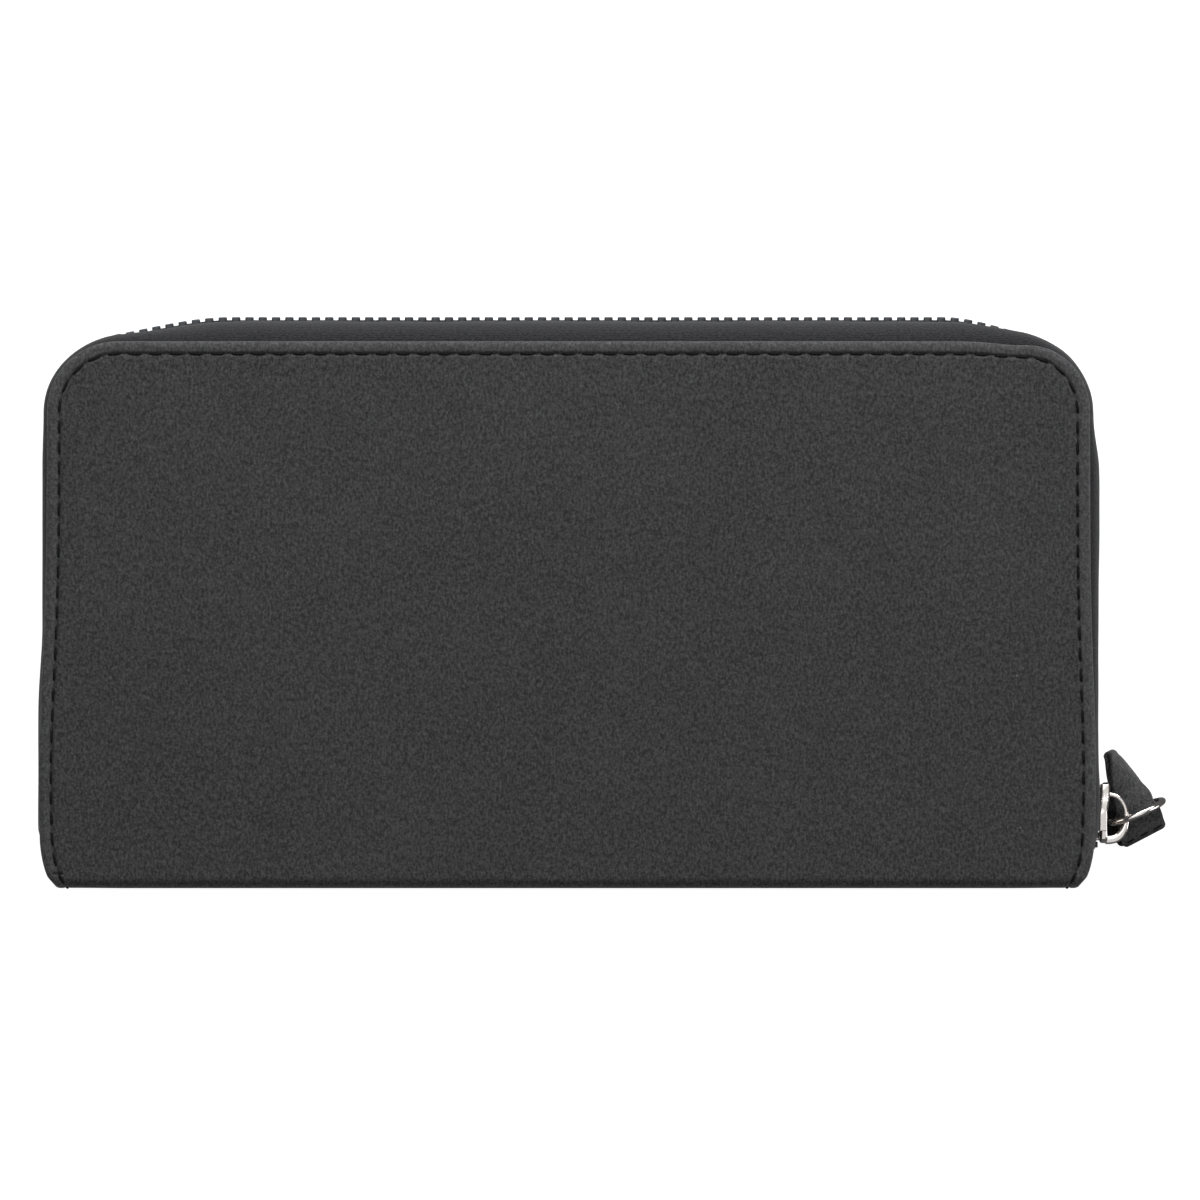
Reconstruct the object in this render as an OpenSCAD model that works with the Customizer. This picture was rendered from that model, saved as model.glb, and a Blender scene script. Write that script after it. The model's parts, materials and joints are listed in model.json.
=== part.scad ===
// Zip-around wallet lying on its back cover.
// X runs along the spine, Y from the spine to the long zip side, Z through the thickness.
// The origin is the centre of the back cover's outer face.

/* [Body] */
// Width of a cover along the spine
body_w = 192; // [170:1:210]
// Depth of a cover from the spine's outer face to the edge opposite
body_d = 100.3; // [95:0.5:110]
// Thickness of the closed wallet
body_t = 25; // [25:0.5:28]
// Radius of the two cover corners away from the spine
corner_r = 13; // [10:0.5:16]
// Radius of the curve that narrows each cover towards the spine
foot_r = 16; // [14:0.5:20]

/* [Cover layers] */
// Thickness of the microfibre skin
skin_t = 0.9; // [0.7:0.1:1]
// Height of the turned edge that wraps the cover's layers
rim_h = 1.8; // [1.6:0.1:1.8]
// Thickness of the foam under the skin
foam_t = 0.4; // [0.3:0.1:0.4]
// Thickness of the lining and of each card pocket layer
lining_t = 0.4; // [0.3:0.05:0.4]

/* [Zip] */
// How far the zip tape stands out from the cover's edge on the short sides
zip_out_side = 0.4; // [0.3:0.05:0.5]
// How far the zip tape stands out from the cover's edge on the long side
zip_out_top = 2.9; // [2:0.1:3.2]
// Distance from one tooth to the next along one row
tooth_pitch = 2.45; // [2.4:0.05:3]
// Width of a tooth along the row
tooth_w = 1.0; // [0.8:0.05:1]
// Thickness of a tooth across the tape
tooth_t = 2.2; // [2:0.1:2.2]

/* [Pull] */
// Mean radius of the wire ring
ring_r = 5.1; // [5:0.05:5.2]
// Radius of the ring's wire
ring_wire_r = 0.575; // [0.5:0.025:0.6]
// Turn of the ring's plane away from the X axis
ring_turn = 23; // [18:1:26]
// Width of the pull strap
strap_w = 8.3; // [7:0.1:8.4]
// Thickness of one leaf of the strap
strap_t = 0.9; // [0.7:0.1:1]

/* [Coin pocket] */
// Height of the coin pocket from the spine's lining to its zip
coin_h = 88; // [70:1:88]
// Overall thickness of the coin pocket
coin_t = 6.2; // [6:0.1:6.4]

/* [Hidden] */
$fn = 48;

skin_c = "#3a3a3b";
lining_c = "#2a2a2c";
tape_c = "#1c1d20";
metal_c = "#b9b9b6";
board_c = "#9a8f7c";

half_w = body_w / 2;
top_y = body_d / 2;
spine_y = -body_d / 2;          // outer face of the spine
mid_z = body_t / 2;
bead_r = 1.2;                   // round folds between the spine and the covers
fold_y = spine_y + bead_r;      // both fold axes stand here
fold_gap = 0.1;
cover_y0 = fold_y + bead_r + fold_gap;
foot_y = -41;                   // the covers narrow below this
spine_half_w = 93.4;

// Layer heights of one cover, counted inwards from its outer face.
board_z = skin_t + foam_t;
tape_z = rim_h + 0.25;          // middle of the tape's sewn-in flange
tape_t = 0.4;
lining_z = tape_z + tape_t / 2 + 0.02;
card_z = lining_z + lining_t;
row_count = 4;
row_half_w = 86;
row_step = 12;                  // each card pocket's mouth is this much lower than the last
row_top = 36;
layer_gap = 0.01;

// ---- outlines -------------------------------------------------------------------------

// Right half of a cover's outline, inset by i, from the spine up to the middle of the top.
function half_outline(i, y0) =
    let (fr = foot_r - i, cr = corner_r - i, a0 = -asin((foot_y - y0) / fr))
    concat(
        [for (k = [0:6]) let (a = a0 * (1 - k / 6))
            [half_w - foot_r + fr * cos(a), foot_y + fr * sin(a)]],
        [for (k = [0:12]) let (a = 90 * k / 12)
            [half_w - corner_r + cr * cos(a), top_y - corner_r + cr * sin(a)]]
    );

function flipped(pts) = [for (k = [len(pts) - 1:-1:0]) [-pts[k][0], pts[k][1]]];

function outline(i, y0) = let (h = half_outline(i, y0)) concat(h, flipped(h));

module cover_plate(inset, z0, z1, y0 = cover_y0)
    translate([0, 0, z0]) linear_extrude(z1 - z0) polygon(outline(inset, y0));

// The front half of the wallet is the back half turned over about the middle.
module front_side() translate([0, 0, body_t]) mirror([0, 0, 1]) children();

// ---- covers ---------------------------------------------------------------------------

stitch_in = 2.3;                // stitch line to edge
thread_w = 0.45;
groove_depth = 0.2;

module stitch_ring(w, z0, z1) difference() {
    cover_plate(stitch_in - w / 2, z0, z1);
    cover_plate(stitch_in + w / 2, z0 - 1, z1 + 1, cover_y0 - 1);
}

module skin() color(skin_c) difference() {
    cover_plate(0, 0, rim_h);
    cover_plate(1, skin_t, rim_h + 1, cover_y0 - 1);
    stitch_ring(thread_w + 0.1, -1, groove_depth);
}

module stitching() color("#111111") stitch_ring(thread_w, 0.03, groove_depth - layer_gap);

module foam() color("#55565a") cover_plate(1.1, skin_t + layer_gap, board_z - layer_gap);

module board() color(board_c) cover_plate(1.1, board_z, rim_h - layer_gap);

module lining() color(lining_c) cover_plate(1.4, lining_z, card_z - layer_gap);

module card_base() color(lining_c)
    translate([-row_half_w, cover_y0 + 0.4, card_z]) cube([2 * row_half_w, 90, lining_t - layer_gap]);

// Pocket row k, 1 beside the cover and with the highest mouth, 4 on top with the lowest.
module card_row(k) color(skin_c)
    translate([-row_half_w, cover_y0 + 0.4, card_z + lining_t * k])
        cube([2 * row_half_w, row_top - (k - 1) * row_step - cover_y0, lining_t - layer_gap]);

// ---- main zip -------------------------------------------------------------------------

zip_y0 = -43;                   // the tapes end here, short of the spine
side_len = top_y - corner_r - zip_y0;
arc_len = corner_r * PI / 2;
top_len = body_w - 2 * corner_r;
path_len = 2 * side_len + 2 * arc_len + top_len;
bow_start = 66;                 // the tape starts to draw in here, on its way to a corner
bow_end = 90;

function smooth(t) = let (c = min(1, max(0, t))) c * c * (3 - 2 * c);

// Point on the cover's edge and the way out of it, at length s from the right-hand end.
function edge_at(s) =
    s < side_len ? [half_w, zip_y0 + s, 0] :
    s < side_len + arc_len ? let (a = (s - side_len) / corner_r * 180 / PI)
        [half_w - corner_r + corner_r * cos(a), top_y - corner_r + corner_r * sin(a), a] :
    s < side_len + arc_len + top_len ?
        [half_w - corner_r - (s - side_len - arc_len), top_y, 90] :
    s < path_len - side_len ? let (a = 90 + (s - side_len - arc_len - top_len) / corner_r * 180 / PI)
        [corner_r - half_w + corner_r * cos(a), top_y - corner_r + corner_r * sin(a), a] :
    [-half_w, zip_y0 + path_len - s, 180];

function zip_out(x, y) = y < top_y - corner_r ? zip_out_side :
    zip_out_side + (zip_out_top - zip_out_side) * smooth((bow_end - abs(x)) / (bow_end - bow_start));

function tape_top_z() = mid_z - 1;

// Middle line of the tape's section: [distance out from the cover's edge, height].
function tape_line(out) = [
    [-6, tape_z], [-1.2, tape_z], [out * 0.45 - 0.25, tape_z + 0.75], [out * 0.85 - 0.1, tape_z + 2.6],
    [out, tape_z + 5.4], [out, tape_top_z()]
];

function unit(v) = v / norm(v);
function side_of(line, k) = let (
        a = k == 0 ? line[1] - line[0] : unit(line[k] - line[k - 1]),
        b = k == len(line) - 1 ? a : unit(line[k + 1] - line[k]),
        d = unit(unit(a) + b)
    ) [-d[1], d[0]];

function tape_section(out) = let (line = tape_line(out), n = len(line)) concat(
    [for (k = [0:n - 1]) line[k] + side_of(line, k) * tape_t / 2],
    [for (k = [n - 1:-1:0]) line[k] - side_of(line, k) * tape_t / 2]
);

// A closed strip through a list of equal rings of points.
module skinned(rings) {
    n = len(rings[0]);
    m = len(rings);
    polyhedron(
        points = [for (r = rings) each r],
        faces = concat(
            [[for (k = [0:n - 1]) k]],
            [for (j = [0:m - 2], k = [0:n - 1]) let (a = j * n + k, b = j * n + (k + 1) % n)
                each [[a, a + n, b + n], [a, b + n, b]]],
            [[for (k = [n - 1:-1:0]) (m - 1) * n + k]]
        )
    );
}

function steps(from, to, n) = [for (k = [0:n - 1]) from + (to - from) * k / n];

tape_stations = concat(
    steps(0, side_len, 4), steps(side_len, side_len + arc_len, 10),
    steps(side_len + arc_len, side_len + arc_len + 22, 8),
    steps(side_len + arc_len + 22, path_len - side_len - arc_len - 22, 6),
    steps(path_len - side_len - arc_len - 22, path_len - side_len - arc_len, 8),
    steps(path_len - side_len - arc_len, path_len - side_len, 10),
    steps(path_len - side_len, path_len, 4), [path_len]
);

module zip_tape() color(tape_c) skinned([for (s = tape_stations) let (e = edge_at(s))
    [for (p = tape_section(zip_out(e[0], e[1]))) [e[0] + p[0] * cos(e[2]), e[1] + p[0] * sin(e[2]), p[1]]]
]);

tooth_low = 1.9;                // foot of a tooth below the middle
tooth_head = 0.75;              // its head passes the middle by this
slider_y = -36.4;
teeth_from = slider_y - 3 - zip_y0;
teeth_to = path_len - 6;

module zip_teeth(shift) color(metal_c)
    for (s = [teeth_from + shift:tooth_pitch:teeth_to]) let (e = edge_at(s), out = zip_out(e[0], e[1]))
        translate([e[0] + out * cos(e[2]), e[1] + out * sin(e[2]), mid_z])
            rotate(e[2]) translate([-tooth_t / 2, -tooth_w / 2, -tooth_low])
                cube([tooth_t, tooth_w, tooth_low + tooth_head]);

zip_x = half_w + zip_out_side;  // plane of the tapes on the short sides

// A small clamp on one tape below the slider, which keeps it from running off.
module zip_stop() color(metal_c)
    translate([zip_x - 1, zip_y0 + 0.2, tape_top_z() + 0.03]) cube([2, 1.1, 0.8]);

// The clamp over both rows at the other end.
module zip_end_stop() color(metal_c)
    translate([-zip_x - 1, zip_y0 + 0.6, tape_top_z() + 0.03]) cube([2, 3.4, 0.85]);

// ---- spine and coin pocket ---------------------------------------------------------------

module spine_skin() color(skin_c) {
    for (z = [bead_r, body_t - bead_r])
        translate([-spine_half_w, fold_y, z]) rotate([0, 90, 0]) cylinder(r = bead_r, h = 2 * spine_half_w);
    translate([-spine_half_w, spine_y, bead_r]) cube([2 * spine_half_w, skin_t, body_t - 2 * bead_r]);
}

inner_y = spine_y + skin_t + 0.02;

module spine_lining() color(lining_c)
    translate([-spine_half_w + 1, inner_y, 2 * bead_r + 0.2])
        cube([2 * spine_half_w - 2, 0.3, body_t - 4 * bead_r - 0.4]);

coin_half_w = 88.5;
coin_y0 = inner_y + 2.6;
coin_y1 = coin_y0 + coin_h;
wall_t = 0.6;
bag_t = 0.3;

module divider_strip() color(lining_c)
    translate([-coin_half_w, inner_y + 0.32, mid_z - 2]) cube([2 * coin_half_w, 2.2, 4]);

module coin_panel() color(skin_c)
    translate([-coin_half_w, coin_y0, mid_z - coin_t / 2]) cube([2 * coin_half_w, coin_h, wall_t]);

module coin_lining() color(lining_c) {
    bag_h = coin_t - 2 * wall_t - 0.04;
    difference() {
        translate([-coin_half_w, coin_y0, mid_z - bag_h / 2]) cube([2 * coin_half_w, coin_h - 2, bag_h]);
        translate([-coin_half_w + bag_t, coin_y0 + bag_t, mid_z - bag_h / 2 + bag_t])
            cube([2 * coin_half_w - 2 * bag_t, coin_h, bag_h - 2 * bag_t]);
    }
}

coin_tape_y = coin_y1 + 0.35;
coin_tape_t = 0.3;
coin_pitch = 2;
coin_tooth_t = 1.5;
coin_tooth_w = 0.8;
coin_zip_half = 80;

module coin_tape() color(tape_c)
    translate([-coin_half_w, coin_tape_y - coin_tape_t / 2, mid_z - coin_t / 2])
        cube([2 * coin_half_w, coin_tape_t, coin_t / 2 - 0.9]);

module coin_teeth(shift) color(metal_c)
    for (x = [-coin_zip_half + shift:coin_pitch:coin_slider_x - 1])
        translate([x - coin_tooth_w / 2, coin_tape_y - coin_tooth_t / 2, mid_z - 1.3])
            cube([coin_tooth_w, coin_tooth_t, 1.3 + 0.5]);

module coin_zip_stops() color(metal_c)
    for (x = [-coin_zip_half - 2, coin_zip_half + 1])
        translate([x, coin_tape_y - 0.7, mid_z - 0.6]) cube([1, 1.4, 1.2]);

// One accordion side wall: sewn to both covers, with the coin pocket between its folds.
gusset_t = 0.3;
gusset_line = [[92.6, card_z + 0.1], [89.4, 6], [90.6, mid_z - 3.4], [90.6, mid_z + 3.4], [89.4, body_t - 6],
    [92.6, body_t - card_z - 0.1]];

module gusset() color(lining_c)
    translate([0, 42, 0]) rotate([90, 0, 0]) linear_extrude(42 - cover_y0 - 0.3)
        polygon(concat([for (p = gusset_line) p - [gusset_t / 2, 0]],
            [for (k = [len(gusset_line) - 1:-1:0]) gusset_line[k] + [gusset_t / 2, 0]]));

// ---- sliders and pull -------------------------------------------------------------------

// Plate of a slider seen flat: square at its mouth, drawn in towards its throat.
function plate_outline(l, w) = [
    [-l / 2, -w * 0.42], [-l / 2 + l * 0.1, -w / 2], [l * 0.05, -w / 2], [l * 0.36, -w * 0.36], [l / 2, -w * 0.3],
    [l / 2, w * 0.3], [l * 0.36, w * 0.36], [l * 0.05, w / 2], [-l / 2 + l * 0.1, w / 2], [-l / 2, w * 0.42]
];

// A slider body along +X with its two plates across Z, its mouth and post at -X.
module slider_body(l, w, gap, plate, slot, lip) {
    for (side = [-1, 1]) {
        z0 = side > 0 ? gap / 2 : -gap / 2 - plate;
        translate([0, 0, z0]) linear_extrude(plate) polygon(plate_outline(l, w));
        lip_z = side > 0 ? slot : -gap / 2 - 0.1;
        for (y = [-1, 1])
            translate([-l * 0.36, y > 0 ? w * 0.3 : -w * 0.3 - lip, lip_z])
                cube([l * 0.78, lip, gap / 2 - slot + 0.1]);
    }
    translate([-l / 2 + 0.4, -0.8, -gap / 2 - 0.1]) cube([1.7, 1.6, gap + 0.2]);
}

slider_l = 11.2;
slider_w = 9.4;
slider_gap = 2.6;
slider_plate = 1.4;
slider_face_x = zip_x + slider_gap / 2 + slider_plate;

module main_slider() color(metal_c)
    translate([zip_x, slider_y, mid_z]) rotate([0, 90, 0]) rotate([0, 0, 90])
        slider_body(slider_l, slider_w, slider_gap, slider_plate, 0.6, 0.9);

// The D-shaped bridge that carries the ring, along the slider's outer face.
bridge_y = -37.2;
bridge_half_h = 1;
bridge_l = 9.6;
bridge_out = 4.25;
bar_w = 1.25;

module half_oval(l, h) polygon([for (k = [0:20]) let (a = -90 + 9 * k) [h * cos(a), l / 2 * sin(a)]]);

module slider_bridge() color(metal_c)
    translate([slider_face_x + 0.01, bridge_y, mid_z - bridge_half_h]) difference() {
        linear_extrude(2 * bridge_half_h) half_oval(bridge_l, bridge_out);
        translate([-0.01, 0, -1]) linear_extrude(2 * bridge_half_h + 2)
            half_oval(bridge_l - 2.2 * bar_w, bridge_out - bar_w + 0.01);
    }

ring_centre = [104.7, -36.2, 10.2];

module pull_ring() color("silver")
    translate(ring_centre) rotate([90, 0, ring_turn]) rotate_extrude($fn = 64)
        translate([ring_r, 0]) circle(r = ring_wire_r, $fn = 24);

// The strap is a doubled leaf, folded at its far end, with the ring's lower wire between
// the leaves. u runs from its sewn ends to the fold, in millimetres, with the ring at 0.
strap_near = -6.6;
strap_far = 11.4;
leaf_gap = 0.06;
strap_dir = [-sin(ring_turn), cos(ring_turn), 0];
across = [cos(ring_turn), sin(ring_turn), 0];
ring_open = 3.15;               // half the distance between the leaves at the ring
fold_roll = 79;                 // the far end leans against the wallet's side

function strap_mid(u) = let (
        far = smooth(u / strap_far), near = max(0, -u)
    ) ring_centre + [0, 0, -ring_open] + strap_dir * (u > 0 ? u : u * 0.72)
      + across * (u > 0 ? 0.7 * sin(180 * u / strap_far) : 0) + [0, 0, 0.2 * far - 0.03 * near * near];
function strap_roll(u) = fold_roll * max(0, min(1, (u - 0.5) / (strap_far - 0.5)));
function strap_level(u) = let (a = ring_turn + 4.5 * smooth(-u / 6)) [cos(a), sin(a), 0];
function strap_half_gap(u) = let (least = (strap_t + leaf_gap) / 2, reach = u > 0 ? 6.6 : 6)
    least + (ring_open - least) * pow(cos(min(90, abs(u) / reach * 90)), 1.6);
function strap_across(u) = strap_level(u) * cos(strap_roll(u)) + [0, 0, -1] * sin(strap_roll(u));
function strap_along(u) = unit(strap_mid(u + 0.05) - strap_mid(u - 0.05));
function strap_up(u) = unit(cross(strap_along(u), -strap_across(u)));

function leaf_ring(u, side) = let (
        c = strap_mid(u) + strap_up(u) * side * strap_half_gap(u), v = strap_across(u), n = strap_up(u)
    ) [for (q = [[-1, -1], [1, -1], [1, 1], [-1, 1]])
        c + v * q[0] * strap_w / 2 + n * side * q[1] * strap_t / 2];

// Stations round the fold, from the upper leaf to the lower.
function fold_ring(a) = let (
        r = strap_half_gap(strap_far), c = strap_mid(strap_far), v = strap_across(strap_far),
        n = strap_up(strap_far), d = strap_along(strap_far), out = n * cos(a) + d * sin(a)
    ) [for (q = [[-1, -1], [1, -1], [1, 1], [-1, 1]])
        c + v * q[0] * strap_w / 2 + out * (r + q[1] * strap_t / 2)];

strap_steps = 22;
strap_rings = concat(
    [for (k = [0:strap_steps]) leaf_ring(strap_near + (strap_far - strap_near) * k / strap_steps, 1)],
    [for (a = [30:30:150]) fold_ring(a)],
    [for (k = [strap_steps:-1:0]) leaf_ring(strap_near + (strap_far - strap_near) * k / strap_steps, -1)]
);

module pull_strap() color(skin_c) skinned(strap_rings);

// A row of thread on the upper leaf, across the sewn ends.
module strap_stitching() color("#111111") {
    u = strap_near + 1;
    c = strap_mid(u) + strap_up(u) * (strap_half_gap(u) + strap_t / 2 + 0.2);
    for (k = [-1:1]) translate(c + across * k * 2.2) rotate([0, 0, ring_turn])
        translate([-0.7, -0.12, 0]) cube([1.4, 0.24, 0.1]);
}

coin_slider_x = 74;
coin_gap = 1.8;
coin_plate = 0.8;
coin_face_y = coin_tape_y + coin_gap / 2 + coin_plate;

module coin_slider() color(metal_c) {
    translate([coin_slider_x, coin_tape_y, mid_z]) rotate([-90, 0, 0]) mirror([1, 0, 0])
        slider_body(7.6, 4.7, coin_gap, coin_plate, 0.4, 0.6);
    translate([coin_slider_x, coin_face_y - 0.05, mid_z - 0.6]) rotate([0, 0, 90]) difference() {
        linear_extrude(1.2) half_oval(5, 1.95);
        translate([-1, 0, -1]) linear_extrude(3) half_oval(3.2, 2.05);
    }
}

// A flat tab whose end bar passes under the bridge, with one leg of the bridge in its eye.
module coin_pull() color(metal_c)
    translate([coin_slider_x, coin_face_y + 0.4, mid_z]) rotate([90, 0, 0]) mirror([1, 0, 0])
        linear_extrude(0.6, center = true) difference() {
            union() {
                translate([-0.7, -1.7]) square([4, 3.4]);
                translate([3, -1.5]) square([5, 3]);
            }
            translate([0.1, -0.9]) square([2.7, 1.8]);
        }

// ---- nodes -------------------------------------------------------------------------------

skin();  // back_skin
foam();  // back_foam
board();  // back_board
lining();  // back_lining
stitching();  // back_stitching
card_base();  // back_card_base
card_row(1);  // back_card_row_1
card_row(2);  // back_card_row_2
card_row(3);  // back_card_row_3
card_row(4);  // back_card_row_4
zip_tape();  // back_zip_tape
zip_teeth(0);  // back_zip_teeth
zip_stop();  // back_zip_stop
zip_end_stop();
spine_skin();
spine_lining();
divider_strip();
coin_panel();  // coin_back_panel
front_side() coin_panel();  // coin_front_panel
coin_lining();
coin_tape();  // coin_back_tape
front_side() coin_tape();  // coin_front_tape
coin_teeth(0);  // coin_back_teeth
front_side() coin_teeth(coin_pitch / 2);  // coin_front_teeth
coin_zip_stops();
gusset();  // right_gusset
mirror([1, 0, 0]) gusset();  // left_gusset
front_side() skin();  // front_skin
front_side() foam();  // front_foam
front_side() board();  // front_board
front_side() lining();  // front_lining
front_side() stitching();  // front_stitching
front_side() card_base();  // front_card_base
front_side() card_row(1);  // front_card_row_1
front_side() card_row(2);  // front_card_row_2
front_side() card_row(3);  // front_card_row_3
front_side() card_row(4);  // front_card_row_4
front_side() zip_tape();  // front_zip_tape
front_side() zip_teeth(tooth_pitch / 2);  // front_zip_teeth
front_side() zip_stop();  // front_zip_stop
main_slider();
slider_bridge();
pull_ring();
pull_strap();
strap_stitching();
coin_slider();
coin_pull();
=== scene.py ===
"""A long zip-around wallet in charcoal microfibre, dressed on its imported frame.

Every length in the classes below is in millimetres, and meshes are scaled to metres as
they are made. A cover's parts are laid out by depth, counted inwards from its outer face,
so that one class builds both covers.
"""

import json
import logging
import math
from contextlib import contextmanager
from dataclasses import dataclass, field
from enum import Enum
from typing import Callable, Iterable, Iterator, Sequence

import bmesh
import bpy
import numpy as np
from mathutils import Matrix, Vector

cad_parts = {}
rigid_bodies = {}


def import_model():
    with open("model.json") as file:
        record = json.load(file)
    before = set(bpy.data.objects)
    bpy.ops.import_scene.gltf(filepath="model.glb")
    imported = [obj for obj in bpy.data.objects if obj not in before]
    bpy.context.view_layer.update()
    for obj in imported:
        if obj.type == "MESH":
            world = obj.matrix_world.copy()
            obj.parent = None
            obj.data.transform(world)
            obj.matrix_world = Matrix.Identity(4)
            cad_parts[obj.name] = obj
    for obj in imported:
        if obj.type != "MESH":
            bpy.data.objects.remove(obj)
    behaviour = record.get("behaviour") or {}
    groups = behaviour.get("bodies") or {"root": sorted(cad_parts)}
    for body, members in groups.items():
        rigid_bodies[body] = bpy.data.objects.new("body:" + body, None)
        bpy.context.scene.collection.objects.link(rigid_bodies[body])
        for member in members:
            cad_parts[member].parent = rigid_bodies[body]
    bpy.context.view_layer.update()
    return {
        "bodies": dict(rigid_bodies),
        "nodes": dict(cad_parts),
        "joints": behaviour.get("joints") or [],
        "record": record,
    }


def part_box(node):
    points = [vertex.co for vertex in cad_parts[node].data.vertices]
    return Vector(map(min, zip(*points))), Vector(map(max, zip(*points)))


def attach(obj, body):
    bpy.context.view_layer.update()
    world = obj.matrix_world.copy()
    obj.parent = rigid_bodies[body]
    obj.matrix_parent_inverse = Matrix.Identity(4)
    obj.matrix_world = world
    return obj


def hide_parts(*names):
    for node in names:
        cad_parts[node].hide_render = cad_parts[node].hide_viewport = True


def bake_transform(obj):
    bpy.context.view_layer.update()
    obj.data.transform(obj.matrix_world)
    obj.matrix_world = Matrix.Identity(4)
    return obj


MM = 0.001
LOG = logging.getLogger("wallet")
Array = np.ndarray


class Side(Enum):
    """The two halves of the wallet."""

    BACK = "back"
    FRONT = "front"


# ---- shader helpers -----------------------------------------------------------------


class Tree:
    """A short way to add and join nodes in one node tree."""

    def __init__(self, tree: bpy.types.NodeTree) -> None:
        """Take hold of the tree to build in."""
        self.tree = tree

    def add(self, kind: str, inputs: dict[str | int, object] | None = None, **settings: object
            ) -> bpy.types.Node:
        """Add a node.

        Args:
            kind: The node's type.
            inputs: Values or other nodes' outputs for its inputs, by name or number.
            settings: Attributes to set on it.

        Returns:
            The new node.
        """
        node = self.tree.nodes.new(kind)
        for name, value in settings.items():
            setattr(node, name, value)
        for socket, value in (inputs or {}).items():
            self.put(node, socket, value)
        return node

    def put(self, node: bpy.types.Node, socket: str | int, value: object) -> None:
        """Set an input to a value, or join it to another node's output."""
        target = node.inputs[socket]
        if isinstance(value, bpy.types.NodeSocket):
            self.tree.links.new(value, target)
        else:
            target.default_value = value

    def maths(self, operation: str, *values: object, clamp: bool = False) -> bpy.types.NodeSocket:
        """Add a Math node.

        Args:
            operation: The operation's name.
            values: Its inputs, as numbers or outputs.
            clamp: Whether to keep the result from 0 to 1.

        Returns:
            The result.
        """
        inputs = dict(enumerate(values))
        return self.add("ShaderNodeMath", inputs, operation=operation, use_clamp=clamp).outputs[0]

    def where(self, output: str = "Object") -> bpy.types.NodeSocket:
        """A piece's own coordinates, or its UV map."""
        return self.add("ShaderNodeTexCoord").outputs[output]

    def noise(self, vector: bpy.types.NodeSocket, scale: float, detail: float = 2.0,
              rough: float = 0.5) -> bpy.types.NodeSocket:
        """Add a noise pattern, with about 1/scale metres from one lump to the next."""
        inputs = {"Vector": vector, "Scale": scale, "Detail": detail, "Roughness": rough}
        return self.add("ShaderNodeTexNoise", inputs).outputs[0]

    def ramp(self, value: bpy.types.NodeSocket, low: float, high: float,
             to_low: float = 0.0, to_high: float = 1.0) -> bpy.types.NodeSocket:
        """Map a value from one range to another, held at both ends."""
        numbers = dict(enumerate((value, low, high, to_low, to_high)))
        return self.add("ShaderNodeMapRange", numbers).outputs[0]

    def scaled(self, vector: bpy.types.NodeSocket, by: tuple[float, float, float],
               turn: float = 0.0) -> bpy.types.NodeSocket:
        """Stretch a pattern's coordinates, and turn them about Z first."""
        inputs = {"Vector": vector, "Rotation": (0.0, 0.0, turn), "Scale": by}
        return self.add("ShaderNodeMapping", inputs).outputs[0]

    def tinted(self, colour: Sequence[float], by: bpy.types.NodeSocket) -> bpy.types.NodeSocket:
        """A colour made lighter or darker by a factor."""
        inputs = {0: tuple(colour[:3]), "Scale": by}
        return self.add("ShaderNodeVectorMath", inputs, operation="SCALE").outputs[0]


def new_group(name: str, takes: Iterable[tuple[str, str]], gives: Iterable[tuple[str, str]]
              ) -> tuple[Tree, bpy.types.Node, bpy.types.Node]:
    """Start a shader node group.

    Args:
        name: The group's name.
        takes: Its inputs, as (name, socket type).
        gives: Its outputs, as (name, socket type).

    Returns:
        The tree, its input node and its output node.
    """
    group = bpy.data.node_groups.new(name, "ShaderNodeTree")
    for labels, way in ((takes, "INPUT"), (gives, "OUTPUT")):
        for label, kind in labels:
            group.interface.new_socket(label, in_out=way, socket_type=kind)
    tree = Tree(group)
    return tree, tree.add("NodeGroupInput"), tree.add("NodeGroupOutput")


FLOAT, VECTOR = "NodeSocketFloat", "NodeSocketVector"


def nap_group() -> bpy.types.NodeTree:
    """Brushed nap: a fine fibre grain, soft clouds where the pile lies over, and lint.

    Returns:
        The group, which gives a Shade factor, a Height and a Lint mask.
    """
    tree, inp, out = new_group(
        "brushed nap", [("Vector", VECTOR), ("Grain", FLOAT), ("Clouds", FLOAT)],
        [("Shade", FLOAT), ("Height", FLOAT), ("Lint", FLOAT)])
    place = inp.outputs["Vector"]
    fine = tree.noise(place, 2300, 3, 0.7)
    fibres = tree.noise(tree.scaled(place, (2.3, 1, 1), 0.12), 1000, 3, 0.65)
    speckle = tree.maths("ADD", tree.maths("MULTIPLY", fine, 0.55), tree.maths("MULTIPLY", fibres, 0.45))
    clouds = tree.noise(place, 46, 3, 0.55)
    grain = tree.maths("MULTIPLY", tree.maths("SUBTRACT", speckle, 0.5), inp.outputs["Grain"])
    grain = tree.maths("MAXIMUM", grain, -0.6)
    drift = tree.maths("MULTIPLY", tree.maths("SUBTRACT", clouds, 0.5), inp.outputs["Clouds"])
    tree.put(out, "Shade", tree.maths("ADD", tree.maths("ADD", 1.0, grain), drift))
    tree.put(out, "Height", speckle)
    specks = tree.add("ShaderNodeTexVoronoi", {"Vector": place, "Scale": 95.0}, feature="F1")
    near = tree.ramp(specks.outputs["Distance"], 0.01, 0.02, 0.8, 0.0)
    chosen = tree.add("ShaderNodeSeparateColor", {0: specks.outputs["Color"]})
    some = tree.maths("GREATER_THAN", chosen.outputs[0], 0.62)
    hairs = tree.noise(tree.scaled(place, (1, 0.12, 1), 0.9), 900, 1, 0.4)
    hair = tree.maths("MULTIPLY", tree.ramp(hairs, 0.845, 0.875, 0.0, 0.45), tree.ramp(clouds, 0.55, 0.6))
    tree.put(out, "Lint", tree.maths("MAXIMUM", tree.maths("MULTIPLY", near, some), hair))
    return tree.tree


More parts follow.
